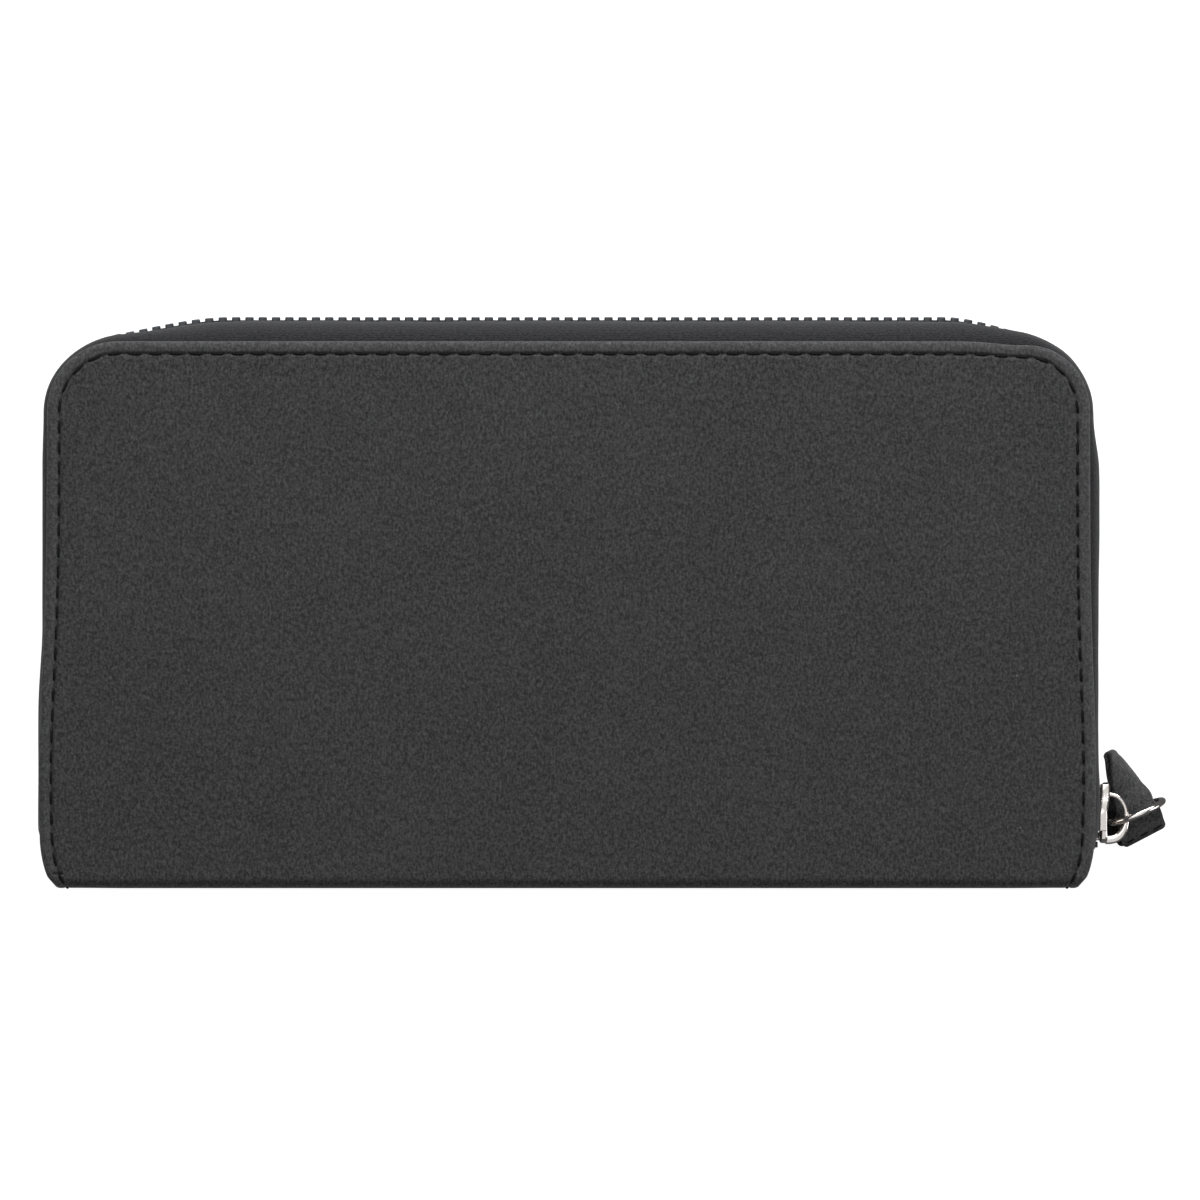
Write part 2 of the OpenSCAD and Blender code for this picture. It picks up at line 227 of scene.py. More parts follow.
def twill_group() -> bpy.types.NodeTree:
    """Woven cloth: slanted ribs crossed by finer ones.

    Returns:
        The group, which gives a Shade factor and a Height.
    """
    tree, inp, out = new_group(
        "twill weave", [("Vector", VECTOR), ("Threads per metre", FLOAT)],
        [("Shade", FLOAT), ("Height", FLOAT)])
    split = tree.add("ShaderNodeSeparateXYZ", {0: inp.outputs["Vector"]})
    along, over = (tree.maths("MULTIPLY", split.outputs[k], inp.outputs["Threads per metre"]) for k in (0, 1))
    rib = tree.maths("SINE", tree.maths("MULTIPLY", tree.maths("ADD", along, over), 2 * math.pi))
    weft = tree.maths("SINE", tree.maths("MULTIPLY", over, 4 * math.pi))
    fuzz = tree.noise(tree.scaled(inp.outputs["Vector"], (1, 1.8, 1), 0.0), 1500, 3, 0.7)
    cloth = tree.maths("ADD", tree.maths("MULTIPLY", rib, 0.04), tree.maths("MULTIPLY", weft, 0.09))
    height = tree.maths("ADD", tree.maths("ADD", cloth, 0.12), tree.maths("MULTIPLY", fuzz, 1.25))
    tree.put(out, "Height", height)
    tree.put(out, "Shade", tree.ramp(height, 0.58, 0.92, 0.15, 1.85))
    return tree.tree


def handled_group() -> bpy.types.NodeTree:
    """Handling marks on metal: smears and fine scratches.

    Returns:
        The group, which gives a Rough value and a Height.
    """
    tree, inp, out = new_group(
        "handled metal", [("Vector", VECTOR), ("Polish", FLOAT)], [("Rough", FLOAT), ("Height", FLOAT)])
    smears = tree.noise(inp.outputs["Vector"], 420, 3, 0.6)
    scratches = tree.noise(tree.scaled(inp.outputs["Vector"], (1, 14, 1), 0.5), 700, 2, 0.5)
    spread = tree.maths("MULTIPLY", tree.maths("SUBTRACT", smears, 0.45), 0.08)
    tree.put(out, "Rough", tree.maths("ADD", inp.outputs["Polish"], spread, clamp=True))
    tree.put(out, "Height", scratches)
    return tree.tree


GROUPS: dict[str, bpy.types.NodeTree] = {}


def shared(name: str, build: Callable[[], bpy.types.NodeTree]) -> bpy.types.NodeTree:
    """The named node group, built the first time that it is asked for."""
    if name not in GROUPS:
        GROUPS[name] = build()
    return GROUPS[name]


# ---- finishes -----------------------------------------------------------------------


@dataclass(frozen=True)
class Finish:
    """What all finishes share: a name, the record's slot, a colour and a roughness."""

    name: str
    slot: str
    colour: tuple[float, float, float]
    rough: float = 0.8

    def material(self) -> bpy.types.Material:
        """The finish's material, built once."""
        if self.name in bpy.data.materials:
            return bpy.data.materials[self.name]
        material = bpy.data.materials.new(self.name)
        material.use_nodes = True
        tree = Tree(material.node_tree)
        shader = material.node_tree.nodes["Principled BSDF"]
        tree.put(shader, "Base Color", (*self.colour, 1))
        tree.put(shader, "Roughness", self.rough)
        self.dress(tree, shader)
        return material

    def dress(self, tree: Tree, shader: bpy.types.Node) -> None:
        """Add the finish's own nodes."""

    @staticmethod
    def bump(tree: Tree, shader: bpy.types.Node, height: bpy.types.NodeSocket, depth_mm: float,
             strength: float = 1.0) -> None:
        """Turn a height into a bump of the given depth."""
        inputs = {"Strength": strength, "Distance": depth_mm * MM, "Height": height}
        tree.put(shader, "Normal", tree.add("ShaderNodeBump", inputs).outputs[0])


@dataclass(frozen=True)
class Microfibre(Finish):
    """Matt brushed microfibre, a little paler on its rounded edges: partly stretched nap, partly a painted
    highlight where light grazes the rim.
    """

    grain: float = 7.2
    clouds: float = 0.3
    # How much paler the marked edges are: stretched nap plus painted highlight.
    edge_pale_and_highlight: float = 0.36
    lint: tuple[float, float, float, float] = (0.36, 0.36, 0.35, 1)

    def dress(self, tree: Tree, shader: bpy.types.Node) -> None:
        """Add the nap, the paler edge (stretched nap and painted highlight), lint and sheen."""
        inputs = {"Vector": tree.where(), "Grain": self.grain, "Clouds": self.clouds}
        nap = tree.add("ShaderNodeGroup", inputs, node_tree=shared("nap", nap_group))
        # Paler edge: the edge mask lifts the colour along rounded rims, partly for the stretched nap and
        # partly as painted highlight.
        edge = tree.add("ShaderNodeAttribute", attribute_name="edge").outputs["Fac"]
        lift = tree.maths("ADD", nap.outputs["Shade"], tree.maths("MULTIPLY", edge, self.edge_pale_and_highlight))
        shares = {0: tree.maths("MULTIPLY", nap.outputs["Lint"], 0.5), 6: tree.tinted(self.colour, lift),
                  7: self.lint}
        tree.put(shader, "Base Color", tree.add("ShaderNodeMix", shares, data_type="RGBA").outputs[2])
        tree.put(shader, "Sheen Weight", 0.1)
        tree.put(shader, "Sheen Roughness", 0.45)
        tree.put(shader, "Specular IOR Level", 0.22)
        self.bump(tree, shader, nap.outputs["Height"], 0.09, 0.75)


@dataclass(frozen=True)
class Woven(Finish):
    """Woven cloth that follows the piece's own UV map."""

    threads: float = 1500.0
    follows_uv: bool = True

    def dress(self, tree: Tree, shader: bpy.types.Node) -> None:
        """Add the weave."""
        place = tree.where("UV" if self.follows_uv else "Object")
        inputs = {"Vector": place, "Threads per metre": self.threads}
        weave = tree.add("ShaderNodeGroup", inputs, node_tree=shared("twill", twill_group))
        tree.put(shader, "Base Color", tree.tinted(self.colour, weave.outputs["Shade"]))
        tree.put(shader, "Sheen Weight", 0.12)
        tree.put(shader, "Sheen Roughness", 0.5)
        tree.put(shader, "Specular IOR Level", 0.25)
        self.bump(tree, shader, weave.outputs["Height"], 0.14)


@dataclass(frozen=True)
class PocketLeather(Finish):
    """Coated split leather with a small pebble grain."""

    def dress(self, tree: Tree, shader: bpy.types.Node) -> None:
        """Add the pebble grain, with painted shade darkening its creases and lightening the pebble tops, and
        slow changes of gloss.
        """
        place = tree.where()
        inputs = {"Vector": place, "Scale": 1300.0}
        pebbles = tree.add("ShaderNodeTexVoronoi", inputs, feature="DISTANCE_TO_EDGE")
        crease_and_painted_shade = tree.ramp(pebbles.outputs[0], 0.0, 0.18)
        # Painted shade: the colour darkens to 0.7 in the creases between pebbles and lifts on their tops.
        tree.put(shader, "Base Color", tree.tinted(self.colour, tree.ramp(crease_and_painted_shade, 0, 1, 0.7, 1.08)))
        gloss = tree.ramp(tree.noise(place, 120, 3), 0.3, 0.7, self.rough - 0.1, self.rough + 0.1)
        tree.put(shader, "Roughness", gloss)
        self.bump(tree, shader, crease_and_painted_shade, 0.06)


@dataclass(frozen=True)
class Plated(Finish):
    """Nickel plate, polished and a little handled."""

    def dress(self, tree: Tree, shader: bpy.types.Node) -> None:
        """Add smears and scratches."""
        tree.put(shader, "Metallic", 1.0)
        inputs = {"Vector": tree.where(), "Polish": self.rough}
        marks = tree.add("ShaderNodeGroup", inputs, node_tree=shared("handled", handled_group))
        tree.put(shader, "Roughness", marks.outputs["Rough"])
        self.bump(tree, shader, marks.outputs["Height"], 0.0008)


@dataclass(frozen=True)
class Twisted(Finish):
    """Twisted thread: a fine slanted ribbing."""

    def dress(self, tree: Tree, shader: bpy.types.Node) -> None:
        """Add the twist."""
        tree.put(shader, "Specular IOR Level", 0.1)
        inputs = {"Vector": tree.where(), "Scale": 900.0}
        wave = tree.add("ShaderNodeTexWave", inputs, bands_direction="DIAGONAL")
        shade = tree.ramp(wave.outputs["Fac"], 0, 1, 0.6, 1.3)
        tree.put(shader, "Base Color", tree.tinted(self.colour, shade))
        self.bump(tree, shader, wave.outputs["Fac"], 0.05)


@dataclass(frozen=True)
class Mottled(Finish):
    """Board or foam: plain stock with a soft speckle."""

    def dress(self, tree: Tree, shader: bpy.types.Node) -> None:
        """Add the speckle."""
        speck = tree.noise(tree.where(), 1200, 4, 0.7)
        tree.put(shader, "Base Color", tree.tinted(self.colour, tree.ramp(speck, 0.3, 0.7, 0.8, 1.15)))
        self.bump(tree, shader, speck, 0.05)


MICROFIBRE = Microfibre("charcoal microfibre", "microfibre", (0.0335, 0.0335, 0.0345), 0.9)
TAPE = Woven("black zip tape", "zip_tape", (0.0125, 0.0127, 0.0142), 0.85, 1300.0)
COIN_TAPE = Woven("coin zip tape", "zip_tape", (0.021, 0.0215, 0.0245), 0.85, 1500.0, False)
LINING = Woven("lining cloth", "lining", (0.022, 0.022, 0.024), 0.8, 2600.0, False)
POCKET = PocketLeather("pocket leather", "pocket", (0.034, 0.034, 0.035), 0.52)
THREAD = Twisted("black thread", "thread", (0.005, 0.005, 0.0055), 0.75)
NICKEL = Plated("polished nickel", "nickel", (0.66, 0.625, 0.6), 0.14)
# The teeth and stops share the nickel slot but are coloured near-black: painted shade and dark reflection
# where the teeth sit.
SHADED_TOOTH_NICKEL = Plated("zip tooth nickel", "nickel", (0.04, 0.043, 0.046), 0.3)
BOARD = Mottled("fibreboard", "board", (0.35, 0.3, 0.22), 0.9)
FOAM = Mottled("foam sheet", "foam", (0.1, 0.1, 0.11), 0.95)


# ---- mesh helpers -------------------------------------------------------------------


def smooth(value: Array | float) -> Array | float:
    """Ease from 0 to 1 as the value goes from 0 to 1."""
    t = np.clip(value, 0, 1)
    return t * t * (3 - 2 * t)


def unit(vectors: Array) -> Array:
    """Vectors at unit length."""
    return vectors / np.maximum(np.linalg.norm(vectors, axis=-1, keepdims=True), 1e-12)


def squared(value: Array, power: float) -> Array:
    """A sine or cosine to a power with its sign kept, which squares a round section off."""
    return np.sign(value) * np.abs(value) ** power


def round_turn(count: int) -> Array:
    """Evenly spaced angles once round."""
    return np.arange(count) * 2 * math.pi / count


def lengths_along(points: Array) -> Array:
    """The length from a path's start to each of its points."""
    return np.concatenate([[0], np.cumsum(np.linalg.norm(np.diff(points, axis=0), axis=1))])


def box_mm(node: str) -> tuple[Array, Array]:
    """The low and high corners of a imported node's box, in millimetres."""
    low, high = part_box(node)
    return np.array(low) / MM, np.array(high) / MM


def in_scene(name: str, data: bpy.types.ID) -> bpy.types.Object:
    """Make an object for a mesh, a lamp or a camera and link it to the scene."""
    thing = bpy.data.objects.new(name, data)
    bpy.context.scene.collection.objects.link(thing)
    return thing


def make_piece(name: str, points: Array, faces: Iterable[Sequence[int]], finish: Finish) -> bpy.types.Object:
    """Make a smooth-shaded mesh object from points in millimetres.

    Args:
        name: The piece's name.
        points: One row for each vertex.
        faces: Vertex numbers of each face, in order seen from outside.
        finish: What it is made of.

    Returns:
        The new object, at the origin.
    """
    mesh = bpy.data.meshes.new(name)
    mesh.from_pydata((np.asarray(points, float) * MM).tolist(), [], [tuple(f) for f in faces])
    mesh.validate()
    mesh.shade_smooth()
    piece = in_scene(name, mesh)
    mesh.materials.append(finish.material())
    return piece


def grid_faces(rows: int, columns: int, start: int = 0, wrap: bool = False) -> list[tuple[int, ...]]:
    """Faces of a grid of points laid out row by row.

    Args:
        rows: How many rows there are.
        columns: How many points a row has.
        start: Number of the first point.
        wrap: Whether the last column joins the first.

    Returns:
        One tuple of four vertex numbers for each face.
    """
    last = columns if wrap else columns - 1
    return [
        (start + r * columns + c, start + r * columns + (c + 1) % columns,
         start + (r + 1) * columns + (c + 1) % columns, start + (r + 1) * columns + c)
        for r in range(rows - 1) for c in range(last)
    ]


def flipped(faces: Iterable[Sequence[int]]) -> list[tuple[int, ...]]:
    """The same faces, seen from behind."""
    return [tuple(reversed(f)) for f in faces]


@contextmanager
def opened(piece: bpy.types.Object) -> Iterator[bmesh.types.BMesh]:
    """Open a piece's mesh for an edit, and put the result back."""
    bm = bmesh.new()
    bm.from_mesh(piece.data)
    yield bm
    bm.to_mesh(piece.data)
    bm.free()


def face_out(piece: bpy.types.Object) -> None:
    """Turn a closed piece's faces outwards."""
    with opened(piece) as bm:
        bmesh.ops.recalc_face_normals(bm, faces=bm.faces)


def make_tube(name: str, rings: Sequence[Array] | Array, finish: Finish) -> bpy.types.Object:
    """A tube through equal rings of points, with a cap at each end."""
    points = np.asarray(rings)
    count, around = points.shape[:2]
    faces = flipped(grid_faces(count, around, wrap=True))
    faces.append(tuple(range(around)))
    faces.append(tuple(reversed(range((count - 1) * around, count * around))))
    piece = make_piece(name, points.reshape(-1, 3), faces, finish)
    face_out(piece)
    return piece


def mark_pale_and_lit_edge(piece: bpy.types.Object, values: Array) -> None:
    """Store how much each vertex lies on a rounded edge, from 0 to 1: the mask for the nap's paler edge,
    partly stretched pile and partly painted highlight.
    """
    mark = piece.data.attributes.new("edge", "FLOAT", "POINT")
    mark.data.foreach_set("value", values.astype(np.float32))


def map_weave(piece: bpy.types.Object, places: Array) -> None:
    """Lay the weave on a piece, with each vertex's place on the cloth in metres."""
    layer = piece.data.uv_layers.new(name="weave")
    for loop in piece.data.loops:
        layer.data[loop.index].uv = places[loop.vertex_index]


def finish_with(piece: bpy.types.Object, *modifiers: tuple[str, dict[str, object]]) -> None:
    """Add modifiers and make their result the piece's own mesh.

    Args:
        piece: The piece.
        modifiers: Each modifier's type and settings, in order.
    """
    for kind, settings in modifiers:
        modifier = piece.modifiers.new(kind.lower(), kind)
        for name, value in settings.items():
            setattr(modifier, name, value)
    bpy.context.view_layer.update()
    evaluated = piece.evaluated_get(bpy.context.evaluated_depsgraph_get())
    plain = bpy.data.meshes.new_from_object(evaluated)
    piece.modifiers.clear()
    old, piece.data = piece.data, plain
    plain.name = old.name
    bpy.data.meshes.remove(old)


def solid_sheet(thickness: float) -> tuple[str, dict[str, object]]:
    """Settings that give an open sheet a thickness in millimetres, behind its face."""
    return ("SOLIDIFY", {"thickness": thickness * MM, "offset": -1.0, "use_even_offset": False})


def rounded_edges(radius: float, segments: int, **settings: object) -> tuple[str, dict[str, object]]:
    """Settings that round a solid's sharp edges by a radius in millimetres."""
    return ("BEVEL", {"width": radius * MM, "segments": segments, "limit_method": "ANGLE", **settings})


def joined(pieces: Sequence[bpy.types.Object], name: str) -> bpy.types.Object:
    """Join pieces of one finish into a single object."""
    first, *others = pieces
    with opened(first) as bm:
        for other in others:
            bm.from_mesh(other.data)
    for other in others:
        bpy.data.objects.remove(other)
    first.name = first.data.name = name
    return first


def block(name: str, low: Sequence[float], high: Sequence[float], finish: Finish, radius: float
          ) -> bpy.types.Object:
    """A box with rounded edges between two corners, in millimetres."""
    ends = (low, high)
    corners = np.array([[ends[k][0], ends[j][1], ends[i][2]] for i in (0, 1) for j in (0, 1) for k in (0, 1)])
    faces = [(0, 2, 3, 1), (4, 5, 7, 6), (0, 1, 5, 4), (2, 6, 7, 3), (0, 4, 6, 2), (1, 3, 7, 5)]
    piece = make_piece(name, corners, faces, finish)
    finish_with(piece, rounded_edges(radius, 2))
    return piece


def prism(name: str, outline: Array, place: Callable[[Array], Array], thickness: float, finish: Finish,
          radius: float) -> bpy.types.Object:
    """A flat plate with rounded edges.

    Args:
        name: Its name.
        outline: Points (a, b) in order round it.
        place: Turns points (a, b, c) into the wallet's own x, y and z.
        thickness: Its size along c, from c = 0.
        finish: What it is made of.
        radius: Radius of its edges.

    Returns:
        The plate.
    """
    count = len(outline)
    flat = np.vstack([np.column_stack([outline, np.full(count, c)]) for c in (0.0, thickness)])
    faces = [tuple(reversed(range(count))), tuple(range(count, 2 * count))]
    faces += [(k, (k + 1) % count, count + (k + 1) % count, count + k) for k in range(count)]
    piece = make_piece(name, place(flat), faces, finish)
    face_out(piece)
    finish_with(piece, rounded_edges(radius, 3, angle_limit=math.radians(50)))
    return piece


# ---- what repeats -------------------------------------------------------------------


class RunTree:
    """A Geometry Nodes tree that sets copies of one shape evenly along a path."""

    def __init__(self) -> None:
        """Build the tree, with its count, shape and material as inputs."""
        self.group = bpy.data.node_groups.new("even run", "GeometryNodeTree")
        face = self.group.interface
        self.keys = {
            label: face.new_socket(label, in_out="INPUT", socket_type=f"NodeSocket{kind}").identifier
            for label, kind in (("Path", "Geometry"), ("Count", "Int"), ("Shape", "Object"),
                                ("Material", "Material"))
        }
        face.new_socket("Run", in_out="OUTPUT", socket_type="NodeSocketGeometry")
        tree = Tree(self.group)
        inp, out = tree.add("NodeGroupInput"), tree.add("NodeGroupOutput")
        curve = tree.add("GeometryNodeMeshToCurve", {0: inp.outputs["Path"]})
        spacing = {"Curve": curve.outputs[0], "Count": inp.outputs["Count"]}
        along = tree.add("GeometryNodeResampleCurve", spacing, mode="COUNT")
        source = {"Object": inp.outputs["Shape"]}
        shape = tree.add("GeometryNodeObjectInfo", source, transform_space="ORIGINAL")
        outward = tree.add("GeometryNodeInputNamedAttribute", {"Name": "outward"}, data_type="FLOAT_VECTOR")
        tangent = tree.add("GeometryNodeInputTangent")
        axes = {"Primary Axis": tangent.outputs[0], "Secondary Axis": outward.outputs["Attribute"]}
        turn = tree.add("FunctionNodeAxesToRotation", axes, primary_axis="X", secondary_axis="Z")
        copies = {"Points": along.outputs[0], "Instance": shape.outputs["Geometry"],
                  "Rotation": turn.outputs[0]}
        points = tree.add("GeometryNodeInstanceOnPoints", copies)
        real = tree.add("GeometryNodeRealizeInstances", {0: points.outputs[0]})
        dressed = {"Geometry": real.outputs[0], "Material": inp.outputs["Material"]}
        tree.put(out, 0, tree.add("GeometryNodeSetMaterial", dressed).outputs[0])

    def lay(self, name: str, path: Array, outward: Array, count: int, shape: bpy.types.Object,
            finish: Finish) -> bpy.types.Object:
        """Set copies of a shape along a path.

        Args:
            name: The new piece's name.
            path: Points of the path, in millimetres.
            outward: At each point, the way that the shape's own Z is to face.
            count: How many copies to set, from one end to the other.
            shape: The shape, with its X along the path.
            finish: What it is made of.

        Returns:
            The copies as one plain mesh.
        """
        mesh = bpy.data.meshes.new(name)
        edges = [(k, k + 1) for k in range(len(path) - 1)]
        mesh.from_pydata((path * MM).tolist(), edges, [])
        ways = mesh.attributes.new("outward", "FLOAT_VECTOR", "POINT")
        ways.data.foreach_set("vector", np.asarray(outward, np.float32).ravel())
        piece = in_scene(name, mesh)
        run = piece.modifiers.new("run", "NODES")
        run.node_group = self.group
        for label, value in (("Count", count), ("Shape", shape), ("Material", finish.material())):
            run[self.keys[label]] = value
        finish_with(piece)
        if "outward" in piece.data.attributes:
            piece.data.attributes.remove(piece.data.attributes["outward"])
        piece.data.shade_smooth()
        return piece


def stitch_shape(length: float, width: float, height: float) -> bpy.types.Object:
    """One stitch: a thread that dips into its hole at both ends."""
    turns = round_turn(7)
    rings = []
    for a in np.linspace(-1, 1, 7):
        bend = abs(a) ** 3
        r = max(0.12, math.sqrt(max(0.0, 1 - bend)))
        lift = -height * 0.9 * bend
        rings.append(np.column_stack([np.full(7, a * length / 2), np.cos(turns) * width / 2 * r,
                                      np.sin(turns) * height / 2 * r + lift]))
    return make_tube("stitch", rings, THREAD)


def tooth_shape(width: float, across: float, reach: float, head: float) -> bpy.types.Object:
    """One zip tooth, with its jaws towards -Y and its narrower head towards +Y."""
    half, neck = across / 2, width * 0.3
    tooth = block("tooth", (-width / 2, -reach, -half), (width / 2, -head * 0.3, half), SHADED_TOOTH_NICKEL, 0.2)
    nose = block("nose", (-neck, -head, -half * 0.75), (neck, head, half * 0.75), SHADED_TOOTH_NICKEL, 0.2)
    return joined([tooth, nose], "tooth")


# ---- covers -------------------------------------------------------------------------


@dataclass
class Body:
    """The closed wallet's outline and the places of its folds."""

    half_w: float
    top_y: float
    thick: float
    corner_r: float = 13.0
    foot_r: float = 24.0
    foot_y: float = -41.0
    cover_y0: float = -47.65
    spine_y: float = -50.15
    fold_r: float = 2.0
    belly: float = 1.05
    belly_y: float = -30.0
    sway: float = 0.12
    droop: float = 0.7
    droop_x: float = 82.5

    @classmethod
    def from_frame(cls) -> "Body":
        """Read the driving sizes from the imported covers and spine."""
        low, high = box_mm("front_skin")
        body = cls(*map(float, high))
        body.cover_y0 = float(low[1])
        body.spine_y = float(box_mm("spine_skin")[0][1])
        return body

    @property
    def corner_y(self) -> float:
        """Y of the top corners' centres."""
        return self.top_y - self.corner_r

    @property
    def corner_x(self) -> float:
        """X of the right-hand top corner's centre."""
        return float(self.half_width(np.array([self.corner_y]))[0]) - self.corner_r

    def half_width(self, y: Array) -> Array:
        """Half the cover's width at y: it bellies out low down and narrows at the spine."""
        foot = self.foot_y - np.minimum(y, self.foot_y)
        pinch = 0.5 * np.clip((foot - 5.5) / 3.5, 0, 1) ** 2
        narrow = self.foot_r - np.sqrt(self.foot_r**2 - foot**2) + pinch
        belly = self.belly * (np.exp(-(((y - self.belly_y) / 26) ** 2)) * 1.25 - 0.3)
        return self.half_w + belly - narrow

    def drift(self, y: Array | float) -> Array:
        """How far the soft wallet leans to the right at y: a little on top, and left low down."""
        return self.sway * np.tanh((np.asarray(y) + 5) / 22)

    def settled(self, points: Array, inset: float, core: float) -> Array:
        """Points (x, y) of an outline with the lean, and the droop of the right-hand corner."""
        x, y = points.T
        near = np.exp(-(((x - self.droop_x) / 5.5) ** 2))
        low = self.droop * near * (y > self.top_y - core) * (1 - inset / core)
        return np.column_stack([x + self.drift(y), y - low])

    def height(self, depth: Array, side: Side) -> Array:
        """The wallet's z at a depth under one cover's outer face."""
        return depth if side is Side.BACK else self.thick - depth


@dataclass
class CoverSkin:
    """The microfibre over one cover, its fold and its half of the spine."""

    body: Body
    side: Side
    skin: float = 0.75
    spacing: float = 0.85
    stitch_in: float = 2.3
    stitch_pitch: float = 3.8
    groove: float = 0.3
    hole_depth: float = 0.16
    hole_width: float = 0.55
    core: float = 13.0
    turned_in: float = 3.0
    lip: tuple[tuple[float, float], ...] = ((1.4, 1.84), (0.5, 1.84), (0.14, 1.72), (0.0, 1.45), (0.0, 1.1))

    def __post_init__(self) -> None:
        """Lay out the rounded edge's section as (inset, depth) pairs."""
        b = self.body
        turn = [(1.15 - 1.15 * math.sin(math.radians(a)), 0.85 - 0.85 * math.cos(math.radians(a)))
                for a in (78, 64, 50, 36, 22, 10)]
        bowl = [(self.stitch_in + d, self.groove * math.exp(-((d / 0.3) ** 2)) + 0.03 * (d > 0))
                for d in (-1.1, -0.75, -0.5, -0.34, -0.2, -0.08, 0.08, 0.2, 0.34, 0.5, 0.75, 1.1, 1.6)]
        inner = [(i, 0.03 - 0.06 * smooth((i - 4) / 9)) for i in (4.8, 6.0, 7.6, 9.4, 11.2, self.core)]
        self.section = np.array([*self.lip, *turn, *bowl, *inner])
        self.rows = np.linspace(b.cover_y0, b.corner_y, 2 + int(98 / self.spacing))
        self.fold_path = self.lay_fold()
        self.run_length = float(lengths_along(self.stitch_run(0.0)[0])[-1])
        self.stitches = round(self.run_length / self.stitch_pitch)

    def lay_fold(self) -> Array:
        """Places down the fold and the spine, as rows of y, depth and the way out of them."""
        b = self.body
        turn = [(b.spine_y + b.fold_r - b.fold_r * math.sin(a), b.fold_r - b.fold_r * math.cos(a),
                 -math.sin(a), -math.cos(a)) for a in np.linspace(0, math.pi / 2, 10)]
        down = [(b.spine_y, d, -1.0, 0.0) for d in np.linspace(b.fold_r, b.thick / 2, 12)[1:]]
        return np.array([*turn, *down])

    def loop(self, inset: float) -> tuple[Array, Array]:
        """The outline at an inset.

        Args:
            inset: How far inside the cover's edge.

        Returns:
            Its points (x, y) from the right side's foot round to the left side's, and the
            length along it.
        """
        b = self.body
        x0, y0 = b.corner_x, b.corner_y
        right = np.column_stack([b.half_width(self.rows) - inset, self.rows])
        arc = np.radians(np.linspace(0, 90, 28)[1:])
        r = b.corner_r - inset
        corner = np.column_stack([x0 + r * np.cos(arc), y0 + r * np.sin(arc)])
        across = np.linspace(x0, -x0, 2 + int(2 * x0 / self.spacing))[1:]
        top = np.column_stack([across, np.full(len(across), b.top_y - inset)])
        half = np.vstack([right, corner])
        whole = b.settled(np.vstack([half, top, (half * (-1, 1))[::-1][1:]]), inset, self.core)
        return whole, lengths_along(whole)

    def stitch_run(self, lift: float) -> tuple[Array, Array]:
        """The stitch line, from the middle of the spine round the cover and back to it.

        Args:
            lift: How far above the cover's face the line runs.

        Returns:
            Its points, and the way out of the cover at each.
        """
        b = self.body
        outline, _ = self.loop(self.stitch_in)
        flat = np.column_stack([outline, np.full(len(outline), -lift)])
        out = np.tile((0.0, 0.0, -1.0), (len(flat), 1))
        y, depth, ny, nd = self.fold_path[1:].T
        x = b.half_width(y) - self.stitch_in
        legs = np.column_stack([x, y + lift * ny, depth + lift * nd])[::-1]
        leg_out = np.column_stack([np.zeros(len(y)), ny, nd])[::-1]
        slide = np.column_stack([b.drift(legs[:, 1]), np.zeros((len(legs), 2))])
        points = np.vstack([legs + slide, flat, (legs * (-1, 1, 1) + slide)[::-1]])
        ways = np.vstack([leg_out, out, leg_out[::-1]])
        if self.side is Side.FRONT:
            ways = ways * (1, 1, -1)
        points[:, 2] = b.height(points[:, 2], self.side)
        return points, ways

    def pucker(self, length: Array, inset: float) -> Array:
        """Extra depth where each needle hole pulls the skin down, by length along the line."""
        near = math.exp(-(((inset - self.stitch_in) / self.hole_width) ** 2))
        start = float(lengths_along(self.fold_path[:, :2])[-1])
        phase = (length + start) * self.stitches / self.run_length
        return near * self.hole_depth * np.abs(np.cos(np.pi * phase)) ** 6

    def build(self) -> bpy.types.Object:
        """Build the skin and its edge attribute.

        Returns:
            The skin as a closed sheet.
        """
        b = self.body
        points, edge = [], []
        lengths = self.loop(self.stitch_in)[1]
        for inset, depth in self.section:
            outline, _ = self.loop(inset)
            extra = self.pucker(lengths, inset) if depth < 0.7 else 0
            points.append(np.column_stack([outline, depth + extra + np.zeros(len(outline))]))
            # Edge mask for the paler rim outside the stitch line: stretched nap and painted highlight.
            edge.append(np.full(len(outline), 1 - smooth((inset - 1.7) / 0.7)))
        loops, along = len(points), len(points[0])
        faces = grid_faces(loops, along)
        count = loops * along
        columns = 2 + int(2 * b.corner_x / self.spacing)
        u = np.linspace(1, -1, columns)
        depth_in = self.section[-1][1]
        for y in self.rows:
            x = u * (b.half_width(np.array([y]))[0] - self.core) + b.drift(y)
            points.append(np.column_stack([x, np.full(columns, y), np.full(columns, depth_in)]))
            edge.append(np.zeros(columns))
        faces += flipped(grid_faces(len(self.rows), columns, count))
        count += len(self.rows) * columns
        insets = np.concatenate([self.section[:, 0], np.full(columns - 2, -1), self.section[::-1, 0]])
        sinks = np.concatenate([self.section[:, 1], np.full(columns - 2, depth_in), self.section[::-1, 1]])
        signs = np.concatenate([np.ones(loops), u[1:-1], -np.ones(loops)])
        path = np.vstack([[b.cover_y0, 0, 0, -1], self.fold_path[self.fold_path[:, 0] < b.cover_y0 - 0.01]])
        for y, depth, ny, nd in path:
            wide = b.half_width(np.array([y]))[0]
            x = signs * np.where(insets < 0, wide - self.core, wide - insets) + b.drift(y)
            points.append(np.column_stack([x, y - sinks * ny, depth - sinks * nd]))
            edge.append(np.where(insets < 0, 0, 1 - smooth((insets - 1.7) / 0.7)))
        faces += grid_faces(len(path), len(signs), count)
        flat = np.vstack(points)
        flat[:, 2] = b.height(flat[:, 2], self.side)
        if self.side is Side.BACK:
            faces = flipped(faces)
        piece = make_piece(f"{self.side.value}_cover_skin", flat, faces, MICROFIBRE)
        mark_pale_and_lit_edge(piece, np.concatenate(edge))
